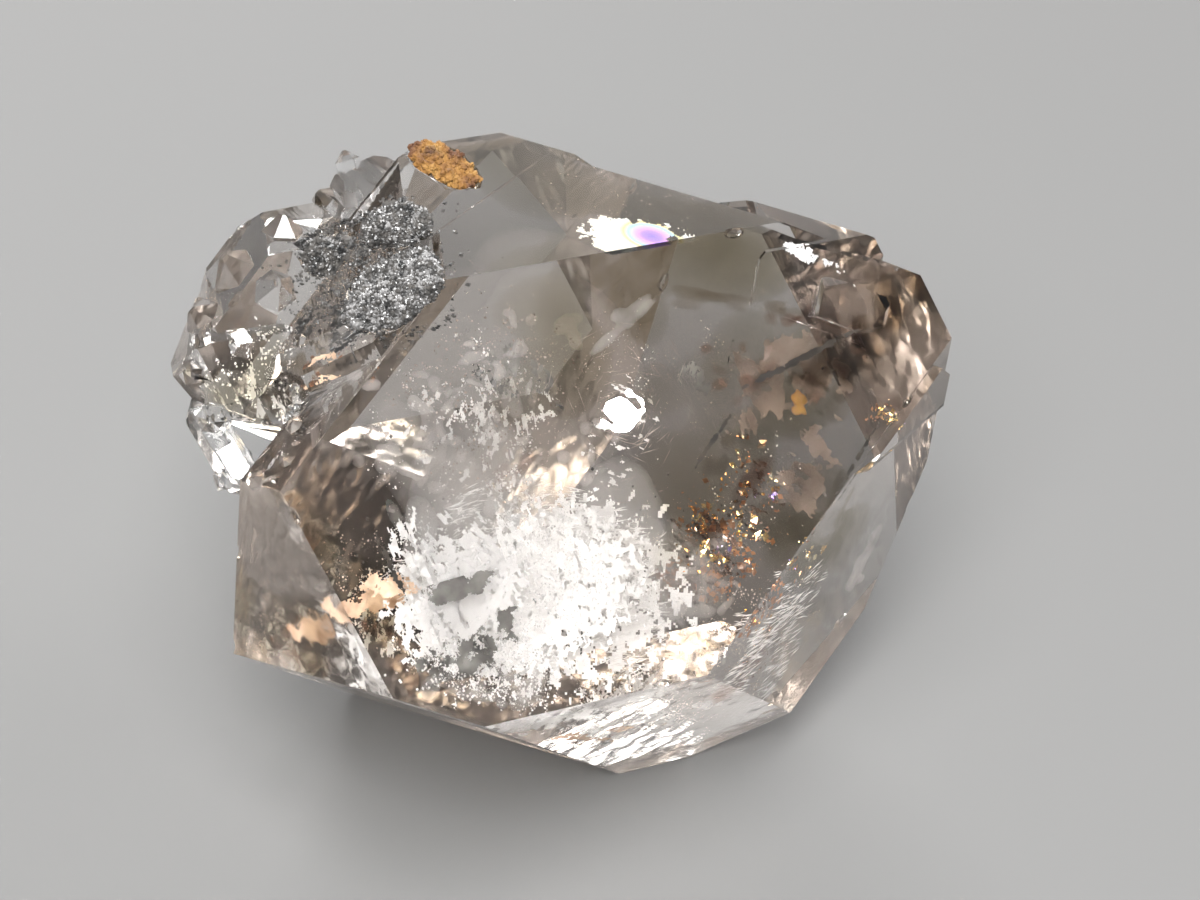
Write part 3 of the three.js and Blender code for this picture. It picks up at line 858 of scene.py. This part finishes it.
STREAKS = [
    (dict(centre=(16.6, -3.4, 15.0), faces=(0.45, -0.60, 0.66), size=10, aspect=0.7, turn=62, bend=1.0, tear=-0.1,
          rag=1.4), 22, (0.3, 1.8)),
    (dict(centre=(14.8, -4.4, 13.4), faces=(0.45, -0.60, 0.66), size=9, aspect=0.7, turn=50, bend=1.0, tear=-0.1,
          rag=1.4), 18, (0.3, 1.8)),
    (dict(centre=(18.0, -0.4, 15.0), faces=(0.68, -0.52, 0.37), size=8, aspect=0.8, turn=62, bend=1.0, tear=-0.1,
          rag=1.4), 20, (0.3, 1.8)),
    (dict(centre=(17.4, -1.4, 11.4), faces=(0.68, -0.52, 0.37), size=8, aspect=0.8, turn=55, bend=1.0, tear=-0.1,
          rag=1.4), 20, (0.3, 1.8)),
    (dict(centre=(5.0, -4.8, 19.4), faces=(0.43, -0.58, 0.69), size=9, aspect=0.8, turn=105, bend=1.0, tear=-0.1,
          rag=1.4), 26, (0.3, 1.6)),
    (dict(centre=(6.6, -7.4, 15.6), faces=(0.43, -0.58, 0.69), size=9, aspect=0.8, turn=75, bend=1.0, tear=-0.1,
          rag=1.4), 24, (0.3, 1.6)),
    (dict(centre=(-3.8, -8.0, 21.2), faces=(0.43, -0.58, 0.69), size=9, aspect=0.6, turn=120, bend=1.0, tear=-0.1,
          rag=1.4), 22, (0.3, 1.8)),
    (dict(centre=(1.0, -5.4, 21.4), faces=(0.43, -0.58, 0.69), size=9, aspect=0.5, turn=95, bend=1.0, tear=-0.1,
          rag=1.4), 22, (0.3, 1.8)),
    (dict(centre=(-7.0, -11.0, 18.4), faces=(0.43, -0.58, 0.69), size=7, aspect=0.7, turn=150, bend=1.0, tear=-0.1,
          rag=1.4), 20, (0.3, 1.6)),
]
finish_piece(grain_clouds(STREAKS, NEEDLE, 60), "bright_streaks", bright)

# %% Scratches round the key glint, partly painted highlight
# Scratch needles lie only in a ring round where the key lamp mirrors in the big face, turned along the ring: they are
# real scratches, but placed only where that highlight lights them up, so partly a painted highlight halo.
across_face = BIG_FACE.to_track_quat("Z", "Y").to_matrix()
scratches = []
for number in range(110):
    swing = dice.uniform(0, 360)
    reach = 1.2 + 4.6 * dice.random() ** 1.6
    offset = across_face @ Vector((math.cos(math.radians(swing)), math.sin(math.radians(swing)), 0)) * reach
    only(NEEDLE)
    bpy.ops.object.duplicate()
    scratch = bpy.context.object
    long = dice.uniform(0.3, 2.0) * MM
    scratch.scale = (long, 0.36 * MM, 0.2 * MM)
    scratches.append(put(scratch, glint_on_big_face / MM + offset, BIG_FACE, swing + 90 + dice.gauss(0, 22)))
finish_piece(join(scratches), "scratches", pinkish)

# %% [markdown]
# ## Sooty druses
# A druse is a crust of tiny crystals. The merged copy of the CAD lump, pushed about by a Displace modifier,
# is the ground, and druse points stand all over it. Carbon makes the lower ones and the rim black, and the
# clean ones above glitter grey, so there are two coats of points, each with its own finish.

# %% Druses
soot, tree, shader, _ = mottled("sooty_druse", (0.010, 0.010, 0.010), (0.050, 0.046, 0.042), 1500, 0.35)
glitter, tree, shader, ramp = mottled("grey_glitter", (0.026, 0.025, 0.024), (0.17, 0.166, 0.164), 1400, 0.18, 0.2)
shader.inputs["Specular IOR Level"].default_value = 0.5
ramp.elements[0].position = 0.40
ramp.elements[1].position = 0.62
glitter_parts = []
for lump, crowd, bright_crowd in (("large", 22, 34), ("upper", 26, 12), ("notch", 30, 8)):
    ground = copy_of_node("carbon_druse_" + lump)
    apply_modifier(ground, "SUBSURF", levels=2, subdivision_type="SIMPLE")
    lumps = bpy.data.textures.new("druse_lumps", "CLOUDS")
    lumps.noise_scale = 0.9 * MM
    apply_modifier(ground, "DISPLACE", texture=lumps, texture_coords="GLOBAL", strength=0.9 * MM, mid_level=0.55)
    points = scatter(ground, POINT, crowd, (0.14, 0.50), 5, 0.7, 2.0)
    glitter_parts.append(scatter(ground, POINT, bright_crowd, (0.14, 0.46), 9, 0.9, 2.0))
    finish_piece(join([ground, points]), "druse_" + lump, soot, ["carbon_druse_" + lump])
finish_piece(join(glitter_parts), "druse_glitter", glitter)

# %% [markdown]
# ### Soot beyond the druses
# Soot spreads past the druses as dust, as a seam between the crystals, as a trail of specks and as single
# crumbs under the faces. The dust lies on a sheet that is wrapped onto the surface.

# %% Soot dust and specks
DUST = [
    (dict(centre=(-12.6, -2.2, 36.0), faces=(-0.5, -0.3, 0.8), size=12, aspect=0.9, turn=20, bend=0.1, tear=-0.05,
          rag=1.0, laid=True), 46, (0.06, 0.36)),
    (dict(centre=(-15.6, -1.0, 34.4), faces=(-0.2, -0.2, 0.95), size=9, aspect=0.9, turn=0, bend=0.1, tear=-0.05,
          rag=0.9, laid=True), 54, (0.06, 0.36)),
    (dict(centre=(-16.6, -4.4, 32.8), faces=(-0.2, -0.5, 0.85), size=7, aspect=0.8, turn=80, bend=0.1, tear=0.0,
          rag=0.8, laid=True), 40, (0.05, 0.30)),
    (dict(centre=(-15.6, -10.6, 30.4), faces=(-0.2, -0.5, 0.85), size=10, aspect=0.26, turn=78, bend=0.1, tear=0.05,
          rag=0.7, laid=True), 40, (0.04, 0.26)),
    (dict(centre=(-13.0, 1.4, 36.6), faces=(0.0, 0.0, 1.0), size=8, aspect=0.6, turn=10, bend=0.1, tear=-0.05,
          rag=0.9, laid=True), 60, (0.05, 0.32)),
    (dict(centre=(-12.8, -7.4, 34.0), faces=(-0.1, -0.6, 0.8), size=8.0, aspect=0.4, turn=10, bend=0.1, tear=0.10,
          rag=0.7, laid=True), 40, (0.05, 0.30)),
]
FILM = [
    dict(centre=(-16.2, -0.4, 34.3), faces=(-0.1, -0.2, 0.97), size=7.0, aspect=0.7, turn=25, bend=0.1, tear=0.0,
         rag=0.8, cell=0.08, laid=True),
    dict(centre=(-15.2, -5.2, 32.6), faces=(-0.5, -0.2, 0.85), size=7.5, aspect=0.6, turn=70, bend=0.1, tear=0.05,
         rag=0.7, cell=0.08, laid=True),
    dict(centre=(-13.4, 1.8, 36.2), faces=(-0.4, -0.2, 0.9), size=7.5, aspect=0.6, turn=10, bend=0.1, tear=0.0,
         rag=0.8, cell=0.08, laid=True),
    dict(centre=(-10.0, -4.4, 36.9), faces=(0.1, -0.3, 0.95), size=5.0, aspect=0.8, turn=50, bend=0.1, tear=0.1,
         rag=0.6, cell=0.07, laid=True),
    dict(centre=(-13.4, -7.6, 33.6), faces=(-0.1, -0.7, 0.7), size=5.5, aspect=0.5, turn=10, bend=0.1, tear=0.05,
         rag=0.6, cell=0.07, laid=True),
]
finish_piece(thin_sheets(FILM), "soot_film", soot)
SPECKS = [
    (dict(centre=(2.0, -4.0, 23.0), faces=(0.43, -0.58, 0.69), size=22, bend=4, tear=-0.1), 0.35, (0.06, 0.34)),
    (dict(centre=(-8.0, -8.0, 22.0), faces=(0.43, -0.58, 0.69), size=16, bend=4, tear=-0.1), 0.7, (0.06, 0.38)),
    (dict(centre=(-9.5, -11.0, 16.0), faces=(-0.30, -0.85, 0.43), size=14, bend=3, tear=0), 0.9, (0.06, 0.40)),
    (dict(centre=(9.0, -6.0, 9.0), faces=(0.32, -0.92, 0.21), size=12, aspect=0.5, bend=2, tear=0), 1.2, (0.06, 0.32)),
    (dict(centre=(-18.5, -6.0, 28.0), faces=(0.1, -0.6, 0.8), size=10, bend=3, tear=0.0), 0.8, (0.05, 0.26)),
    (dict(centre=(-11.4, -10.6, 19.4), faces=(0.43, -0.58, 0.69), size=6, bend=2, tear=0.0), 3, (0.05, 0.26)),
    (dict(centre=(9.3, -9.4, 10.5), faces=(0.55, -0.74, -0.39), size=12, aspect=0.42, turn=-36, bend=0.4, tear=-0.1),
     2.2, (0.06, 0.40)),
    (dict(centre=(16.4, 8.0, 28.8), faces=(0.43, -0.58, 0.69), size=8, aspect=0.6, turn=14, bend=1, tear=0.0), 1.6,
     (0.05, 0.30)),
]
# single crumbs on the surface: place in mm and size, and seams: the line they follow, how many and their size
SPOTS = [
    (-9.2, 1.0, 37.15, 0.45), (-8.4, -1.0, 37.15, 0.5), (-8.1, -0.4, 37.1, 0.3), (-7.5, -3.2, 36.75, 0.5),
    (-7.3, -2.2, 37.0, 0.25), (-10.4, 3.6, 37.1, 0.35), (-9.6, 3.9, 37.1, 0.25), (-20.18, -3.24, 33.9, 0.34),
    (-19.75, -2.89, 33.93, 0.30), (-19.24, -2.6, 33.88, 0.36), (-18.65, -2.49, 33.65, 0.28),
    (-18.09, -2.49, 33.35, 0.32), (-17.62, -2.65, 32.98, 0.36), (-20.13, -3.74, 33.5, 0.28),
    (-19.71, -4.43, 33.45, 0.24), (-17.83, -3.2, 32.69, 0.34),
]
SEAMS = [
    ([(-18.51, -0.22, 34.38), (-17.51, 1.03, 34.4), (-16.38, 1.62, 34.65), (-15.38, 2.83, 34.87),
      (-14.55, 3.08, 35.44)], 70, 0.5),
    ([(-18.26, -0.97, 33.82), (-17.58, -0.78, 33.33), (-15.92, -3.59, 32.99), (-15.2, -5.47, 33.1),
      (-14.07, -7.89, 33.4)], 60, 0.45),
    ([(-16.48, -7.32, 31.71), (-16.93, -8.32, 31.15), (-16.18, -10.19, 30.73), (-15.26, -11.84, 30.46),
      (-14.77, -12.94, 30.57), (-15.01, -13.88, 30.3)], 34, 0.32),
    ([(-8.23, -3.67, 36.85), (-7.94, -4.98, 35.56), (-8.48, -5.79, 35.22), (-9.52, -6.75, 35.07),
      (-10.64, -7.37, 34.96), (-11.74, -8.07, 34.9)], 50, 0.42),
]
dust = grain_clouds(DUST, CRUMB, 80)
specks = grain_clouds(SPECKS, CRUMB, 100)
for line, count, largest in SEAMS:
    for number in range(count):
        step = dice.randrange(len(line) - 1)
        place = Vector(line[step]).lerp(Vector(line[step + 1]), dice.random())
        SPOTS.append((*(place + Vector([dice.gauss(0, 0.16) for _ in range(3)])), largest * (0.3 + dice.random() ** 2)))
spots = []
for x, y, z, size in SPOTS:
    only(CRUMB)
    bpy.ops.object.duplicate()
    spot = bpy.context.object
    spot.scale = (size * MM, size * MM, size * MM * 0.7)
    spots.append(put(spot, (x, y, z), (0.1 * size, 0.3, 1), 1000 * x))
finish_piece(join([dust, specks, *spots]), "soot", soot)

# %% [markdown]
# ## Smoke, amber and rust inside
# Some zones inside are browner. They are the same kind of soft lump, but their volume only soaks up light.
# Iron minerals show as rusty flakes. The widest cracks split light into rainbow colours, as oil on water
# does; here the colours are painted, and under the top face they are a painted reflection of the sheen lamp.

# %% Smoky zones and amber
SOAK = "ShaderNodeVolumeAbsorption"
SMOKY = [
    ((8.4, 11.0, 28.9), (10.5, 1.5, 1.5), (0.43, -0.58, 0.69), -18, 1),
    ((19.0, 11.2, 30.4), (7.0, 3.4, 2.4), (0.60, -0.20, 0.77), 30, 2),
    ((10.3, 1.0, 25.2), (3.8, 1.6, 1.0), (0.43, -0.58, 0.69), 40, 3),
    ((-14.6, -6.0, 28.0), (4.6, 2.6, 1.8), (-0.59, -0.18, 0.79), 80, 8),
    ((16.6, 9.6, 26.0), (5.0, 2.2, 1.4), (0.43, -0.58, 0.69), 40, 9),
    ((17.4, 3.6, 20.0), (6.0, 1.0, 0.8), (0.43, -0.58, 0.69), 58, 10),
]
zones = [cloud(*zone) for zone in SMOKY]
finish_piece(join(zones), "smoky_zones", cloud_stuff("brown_smoke", (0.58, 0.46, 0.30), 760, SOAK))
zone = cloud((16.2, 8.4, 28.8), (9.5, 5.0, 2.6), (0.43, -0.58, 0.69), 14, 13, patchy=True)
finish_piece(zone, "dark_patches", cloud_stuff("dark_smoke", (0.52, 0.44, 0.34), 1300, SOAK))
BROAD_SMOKE = [
    ((11.0, 4.6, 22.6), (17.0, 9.5, 4.0), (0.43, -0.58, 0.69), 25, 21),
    ((0.0, 11.5, 33.0), (22.0, 9.0, 5.0), (0.0, 0.0, 1.0), -10, 22),
    ((14.0, 8.0, 15.0), (9.0, 8.0, 4.0), (0.43, -0.58, 0.69), 60, 23),
    ((-11.4, -10.4, 14.4), (9.0, 8.0, 5.0), (-0.30, -0.85, 0.43), 10, 24),
    ((-1.0, 2.4, 29.2), (16.0, 9.0, 4.0), (0.43, -0.58, 0.69), 10, 25),
    ((18.0, 3.0, 16.0), (9.0, 6.0, 4.0), (0.68, -0.30, 0.66), 60, 26),
    ((18.0, 11.0, 30.5), (9.0, 6.0, 4.0), (0.60, -0.20, 0.77), 30, 27),
    ((8.0, 6.5, 27.4), (15.0, 7.0, 3.4), (0.43, -0.58, 0.69), 20, 28),
    ((-18.0, -6.0, 28.4), (9.0, 8.0, 5.0), (-0.20, -0.30, 0.90), 20, 29),
]
zones = join([cloud(*zone) for zone in BROAD_SMOKE])
apply_modifier(zones, "REMESH", mode="VOXEL", voxel_size=0.36 * MM)
apply_modifier(zones, "SHRINKWRAP", target=quartz, wrap_method="NEAREST_SURFACEPOINT", wrap_mode="INSIDE",
               offset=1.4 * SKIN)
bpy.ops.object.shade_smooth()
finish_piece(zones, "broad_smoke", cloud_stuff("olive_smoke", (0.62, 0.57, 0.42), 260, SOAK))
finish_piece(cloud((14.4, 4.9, 27.0), (2.2, 0.8, 0.8), (0.43, -0.58, 0.69), -68, 11), "amber_streak",
             cloud_stuff("amber", (1.0, 0.40, 0.02), 1500))
ROSY_SMOKE = [
    ((9.0, 0.0, 16.6), (6.5, 2.6, 1.6), (0.36, -0.64, 0.68), 60, 41),
    ((11.8, 3.4, 20.6), (6.0, 1.8, 1.4), (0.43, -0.58, 0.69), 40, 42),
    ((14.0, -3.0, 13.0), (6.0, 2.4, 1.6), (0.45, -0.60, 0.66), 62, 43),
    ((-3.0, -4.8, 24.0), (3.0, 1.2, 0.9), (0.43, -0.58, 0.69), 20, 44),
]
zones = [cloud(*zone) for zone in ROSY_SMOKE]
zones.append(cloud((12.4, 7.2, 29.2), (13.0, 7.0, 2.6), (0.43, -0.58, 0.69), 14, 45, patchy=True))
finish_piece(join(zones), "rosy_smoke", cloud_stuff("rosy_smoke", (0.72, 0.44, 0.30), 700, SOAK))

# %% Rust and rainbow flakes
rusty, tree, shader, _ = mottled("rusty_flakes", (0.10, 0.045, 0.025), (0.42, 0.19, 0.075), 900, 0.35)
RUST = [
    (dict(centre=(9.7, 1.0, 16.3), faces=(0.30, -0.70, 0.64), size=11, aspect=0.9, turn=20, bend=2, tear=0.05,
          rag=0.8, streak=2.0), 12, (0.06, 0.8)),
    (dict(centre=(11.3, 2.6, 18.6), faces=(0.30, -0.70, 0.64), size=12, aspect=0.8, turn=60, bend=2, tear=0.1,
          rag=0.8, streak=2.0), 9, (0.06, 0.6)),
    (dict(centre=(19.8, 8.4, 25.4), faces=(0.43, -0.58, 0.69), size=3.4, aspect=0.5, turn=-20, bend=0.6, tear=0), 16,
     (0.05, 0.4)),
    (dict(centre=(-13.9, -6.6, 29.8), faces=(0.43, -0.58, 0.69), size=4.2, aspect=0.5, turn=-15, bend=0.6, tear=-0.1),
     24, (0.06, 0.42)),
    (dict(centre=(6.0, -6.6, 7.8), faces=(0.32, -0.92, 0.21), size=7, aspect=0.2, turn=12, bend=0.6, tear=-0.2), 26,
     (0.06, 0.46)),
    (dict(centre=(-4.0, -5.0, 22.6), faces=(0.30, -0.75, 0.59), size=4, aspect=0.7, turn=10, bend=1, tear=0.1), 10,
     (0.04, 0.26)),
]
finish_piece(grain_clouds(RUST, FLAKE, 140), "rusty_flakes", rusty)
dark_rust, tree, shader, _ = mottled("dark_rust", (0.035, 0.018, 0.010), (0.22, 0.085, 0.030), 900, 0.4)
shader.inputs["Alpha"].default_value = 0.7
RUST_FILMS = [
    dict(centre=(9.4, 0.4, 16.0), faces=(0.36, -0.64, 0.68), size=9.0, aspect=0.8, turn=40, bend=2.0,
         tear=0.16, rag=0.5, streak=2.0, cell=0.07),
    dict(centre=(7.0, -2.0, 15.4), faces=(0.36, -0.64, 0.68), size=7.0, aspect=0.8, turn=60, bend=2.0,
         tear=0.26, rag=0.5, streak=2.0, cell=0.07),
    dict(centre=(12.6, 3.4, 19.6), faces=(0.43, -0.58, 0.69), size=8.0, aspect=0.8, turn=60, bend=2.0,
         tear=0.34, rag=0.5, streak=2.5, cell=0.07),
    dict(centre=(5.6, -6.2, 8.2), faces=(0.32, -0.92, 0.21), size=11, aspect=0.4, turn=0, bend=1.0,
         tear=0.30, rag=0.5, streak=1.5, cell=0.07),
    dict(centre=(-9.8, -10.6, 14.6), faces=(-0.10, -0.80, 0.60), size=10, aspect=0.7, turn=20, bend=2.0,
         tear=0.30, rag=0.6, streak=1.5, cell=0.07),
]
finish_piece(thin_sheets(RUST_FILMS), "rust_films", dark_rust)
gold, tree, shader, _ = mottled("gold_glints", (0.80, 0.40, 0.06), (1.0, 0.78, 0.38), 900, 0.2)
shader.inputs["Metallic"].default_value = 1.0
GOLD = [
    (dict(centre=(20.2, 7.7, 26.3), faces=(0.43, -0.58, 0.69), size=3.6, aspect=0.5, turn=10, bend=0.6, tear=-0.3), 26,
     (0.06, 0.50)),
    (dict(centre=(10.4, 0.6, 24.0), faces=(0.43, -0.58, 0.69), size=7, aspect=0.5, turn=35, bend=1.5, tear=0), 5,
     (0.05, 0.34)),
    (dict(centre=(10.6, -2.0, 20.4), faces=(0.30, -0.66, 0.69), size=9, aspect=0.7, turn=60, bend=1.5, tear=0), 5,
     (0.05, 0.36)),
    (dict(centre=(9.5, -9.5, 10.4), faces=(0.55, -0.74, -0.39), size=12, aspect=0.4, turn=-36, bend=0.3, tear=0), 7,
     (0.05, 0.30)),
    (dict(centre=(15.6, -4.6, 15.8), faces=(0.45, -0.60, 0.66), size=12, aspect=0.6, turn=60, bend=1, tear=0), 4,
     (0.05, 0.30)),
]
finish_piece(grain_clouds(GOLD, FLAKE, 240), "gold_glints", gold)

peach, tree, shader, _ = mottled("peach_stain", (0.50, 0.30, 0.18), (0.90, 0.68, 0.50), 700, 0.4)
STAINS = [
    dict(centre=(-9.6, -11.4, 16.6), faces=(0.43, -0.58, 0.69), size=6.0, aspect=0.34, turn=8, bend=0.5,
         tear=-0.7, rag=1.0, cell=0.12),
    dict(centre=(-14.0, -6.7, 29.8), faces=(0.43, -0.58, 0.69), size=3.8, aspect=0.4, turn=-18, bend=0.4,
         tear=-0.1, rag=0.7, cell=0.1),
    dict(centre=(6.5, -11.4, 10.0), faces=(0.55, -0.74, -0.39), size=9.0, aspect=0.14, turn=-39, bend=0.2,
         tear=-0.2, rag=0.6, cell=0.07),
    dict(centre=(5.4, -12.0, 10.6), faces=(0.20, -0.70, 0.68), size=5.0, aspect=0.24, turn=-30, bend=0.2,
         tear=-0.1, rag=0.5, cell=0.06),
    dict(centre=(8.6, -9.4, 9.8), faces=(0.20, -0.70, 0.68), size=5.0, aspect=0.24, turn=-30, bend=0.2,
         tear=-0.1, rag=0.5, cell=0.06),
    dict(centre=(-8.4, -14.0, 20.4), faces=(0.43, -0.58, 0.69), size=5.0, aspect=0.36, turn=-15, bend=0.4,
         tear=-0.4, rag=0.6, cell=0.08),
]
finish_piece(thin_sheets(STAINS), "peach_stains", peach)

rainbow, tree, shader, ramp = mottled("rainbow_crack", (0.95, 0.92, 0.98), (0.95, 0.96, 0.95), 330, 0.14, 0.1)
shader.inputs["Metallic"].default_value = 1.0
for place, colour in ((0.40, (0.55, 0.45, 0.95)), (0.44, (0.95, 0.62, 0.25)), (0.50, (0.98, 0.84, 0.50)),
                      (0.55, (0.95, 0.93, 0.85)), (0.60, (0.85, 0.38, 0.16))):
    ramp.elements.new(place).color = (*colour, 1)
RAINBOWS = [
    (dict(centre=(11.4, 2.0, 19.6), faces=(0.50, -0.45, 0.74), size=12, aspect=0.7, turn=40, bend=2, tear=-0.1), 7,
     (0.08, 0.95)),
    (dict(centre=(17.8, -0.9, 18.0), faces=(0.55, -0.45, 0.70), size=11, aspect=0.5, turn=62, bend=1.5, tear=-0.1), 7,
     (0.08, 0.80)),
    (dict(centre=(20.0, 8.3, 25.5), faces=(0.50, -0.45, 0.74), size=4, aspect=0.6, turn=0, bend=1, tear=0.1), 12,
     (0.06, 0.44)),
    (dict(centre=(-3.0, -5.4, 22.8), faces=(0.40, -0.55, 0.74), size=4, aspect=0.8, turn=0, bend=1, tear=0.1), 12,
     (0.06, 0.40)),
]
finish_piece(grain_clouds(RAINBOWS, FLAKE, 170), "rainbow_cracks", rainbow)

# A metallic film under the top face, coloured in rings round the point where the sheen lamp mirrors in that face: its
# pale core and rainbow rings are a painted reflection, laid over a real crack.
flash, tree, shader = new_material("rainbow_flash", (1, 1, 1), 0.10)
shader.inputs["Metallic"].default_value = 1.0
painted_reflection_rings = tree.nodes.new("ShaderNodeTexGradient")
painted_reflection_rings.gradient_type = "SPHERICAL"
spread = tree.nodes.new("ShaderNodeMapping")
spread.vector_type = "TEXTURE"
spread.inputs["Location"].default_value = Vector((2.7, 5.9, 36.75)) * MM
spread.inputs["Scale"].default_value = (3.2 * MM, 2.3 * MM, 3 * MM)
tree.links.new(tree.nodes.new("ShaderNodeTexCoord").outputs["Object"], spread.inputs["Vector"])
tree.links.new(spread.outputs["Vector"], painted_reflection_rings.inputs["Vector"])
ramp = tree.nodes.new("ShaderNodeValToRGB")
ramp.color_ramp.elements[0].color = (1, 0.97, 0.88, 1)
ramp.color_ramp.elements[1].color = (0.40, 0.28, 0.98, 1)
for place, colour in ((0.05, (1, 0.98, 0.9)), (0.30, (1, 1, 0.97)), (0.42, (0.98, 0.86, 0.40)),
                      (0.52, (0.55, 0.85, 1)), (0.66, (0.98, 0.55, 0.95)), (0.80, (0.55, 0.35, 1))):
    ramp.color_ramp.elements.new(place).color = (*colour, 1)
tree.links.new(painted_reflection_rings.outputs["Fac"], ramp.inputs[0])
tree.links.new(ramp.outputs[0], shader.inputs["Base Color"])
crack = ragged_sheet((1.9, 5.4, 36.75), (0, 0, 1), size=8.2, aspect=0.46, turn=10, bend=0.02, tear=-0.9, rag=1.2,
                     cell=0.09, seed=5)
apply_modifier(crack, "SOLIDIFY", thickness=0.012 * MM, offset=0)
finish_piece(crack, "rainbow_flash", flash)

# %% [markdown]
# ## Rusty crust
# Iron oxide sits on the highest corner as a rough crust. It is the CAD lump made uneven and covered with
# crumbs. Its colour drifts between ochre and orange, and turns dark brown round one point.

# %% Rusty crust
DARK_SPOT_CENTRE = Vector((-12.3, 8.2, 37.3)) * MM
crust_look, tree, shader, ramp = mottled("rusty_crust", (0.055, 0.018, 0.003), (0.20, 0.108, 0.024), 700, 0.8, 0.8)
ramp.elements.new(0.5).color = (0.135, 0.060, 0.008, 1)
near_dark_spot = tree.nodes.new("ShaderNodeTexCoord")
moved = tree.nodes.new("ShaderNodeMapping")
moved.vector_type = "TEXTURE"
moved.inputs["Location"].default_value = DARK_SPOT_CENTRE
moved.inputs["Scale"].default_value = (1.1 * MM, 0.6 * MM, 1.0 * MM)
ball = tree.nodes.new("ShaderNodeTexGradient")
ball.gradient_type = "SPHERICAL"
tree.links.new(near_dark_spot.outputs["Object"], moved.inputs["Vector"])
tree.links.new(moved.outputs["Vector"], ball.inputs["Vector"])
darken = tree.nodes.new("ShaderNodeMix")
darken.data_type = "RGBA"
darken.inputs[7].default_value = (0.03, 0.010, 0.004, 1)
rusty_tone = shader.inputs["Base Color"].links[0].from_socket
tree.links.new(ball.outputs["Fac"], darken.inputs[0])
tree.links.new(rusty_tone, darken.inputs[6])
tree.links.new(darken.outputs[2], shader.inputs["Base Color"])

ground = copy_of_node("iron_crust")
apply_modifier(ground, "SUBSURF", levels=2, subdivision_type="SIMPLE")
lumps = bpy.data.textures.new("rust_lumps", "CLOUDS")
lumps.noise_scale = 0.5 * MM
apply_modifier(ground, "DISPLACE", texture=lumps, texture_coords="GLOBAL", strength=1.2 * MM, mid_level=0.6)
crumbs = scatter(ground, CRUMB, 30, (0.10, 0.60), 3, 0.5, 2.0)
finish_piece(join([ground, crumbs]), "rusty_crust", crust_look, ["iron_crust"])

remove(POINT, FLAKE, NEEDLE, CRUMB)

# %% Render settings
bpy.context.scene.view_settings.view_transform = "Standard"
bpy.context.scene.cycles.max_bounces = 12
bpy.context.scene.cycles.transmission_bounces = 12
bpy.context.scene.cycles.volume_bounces = 8
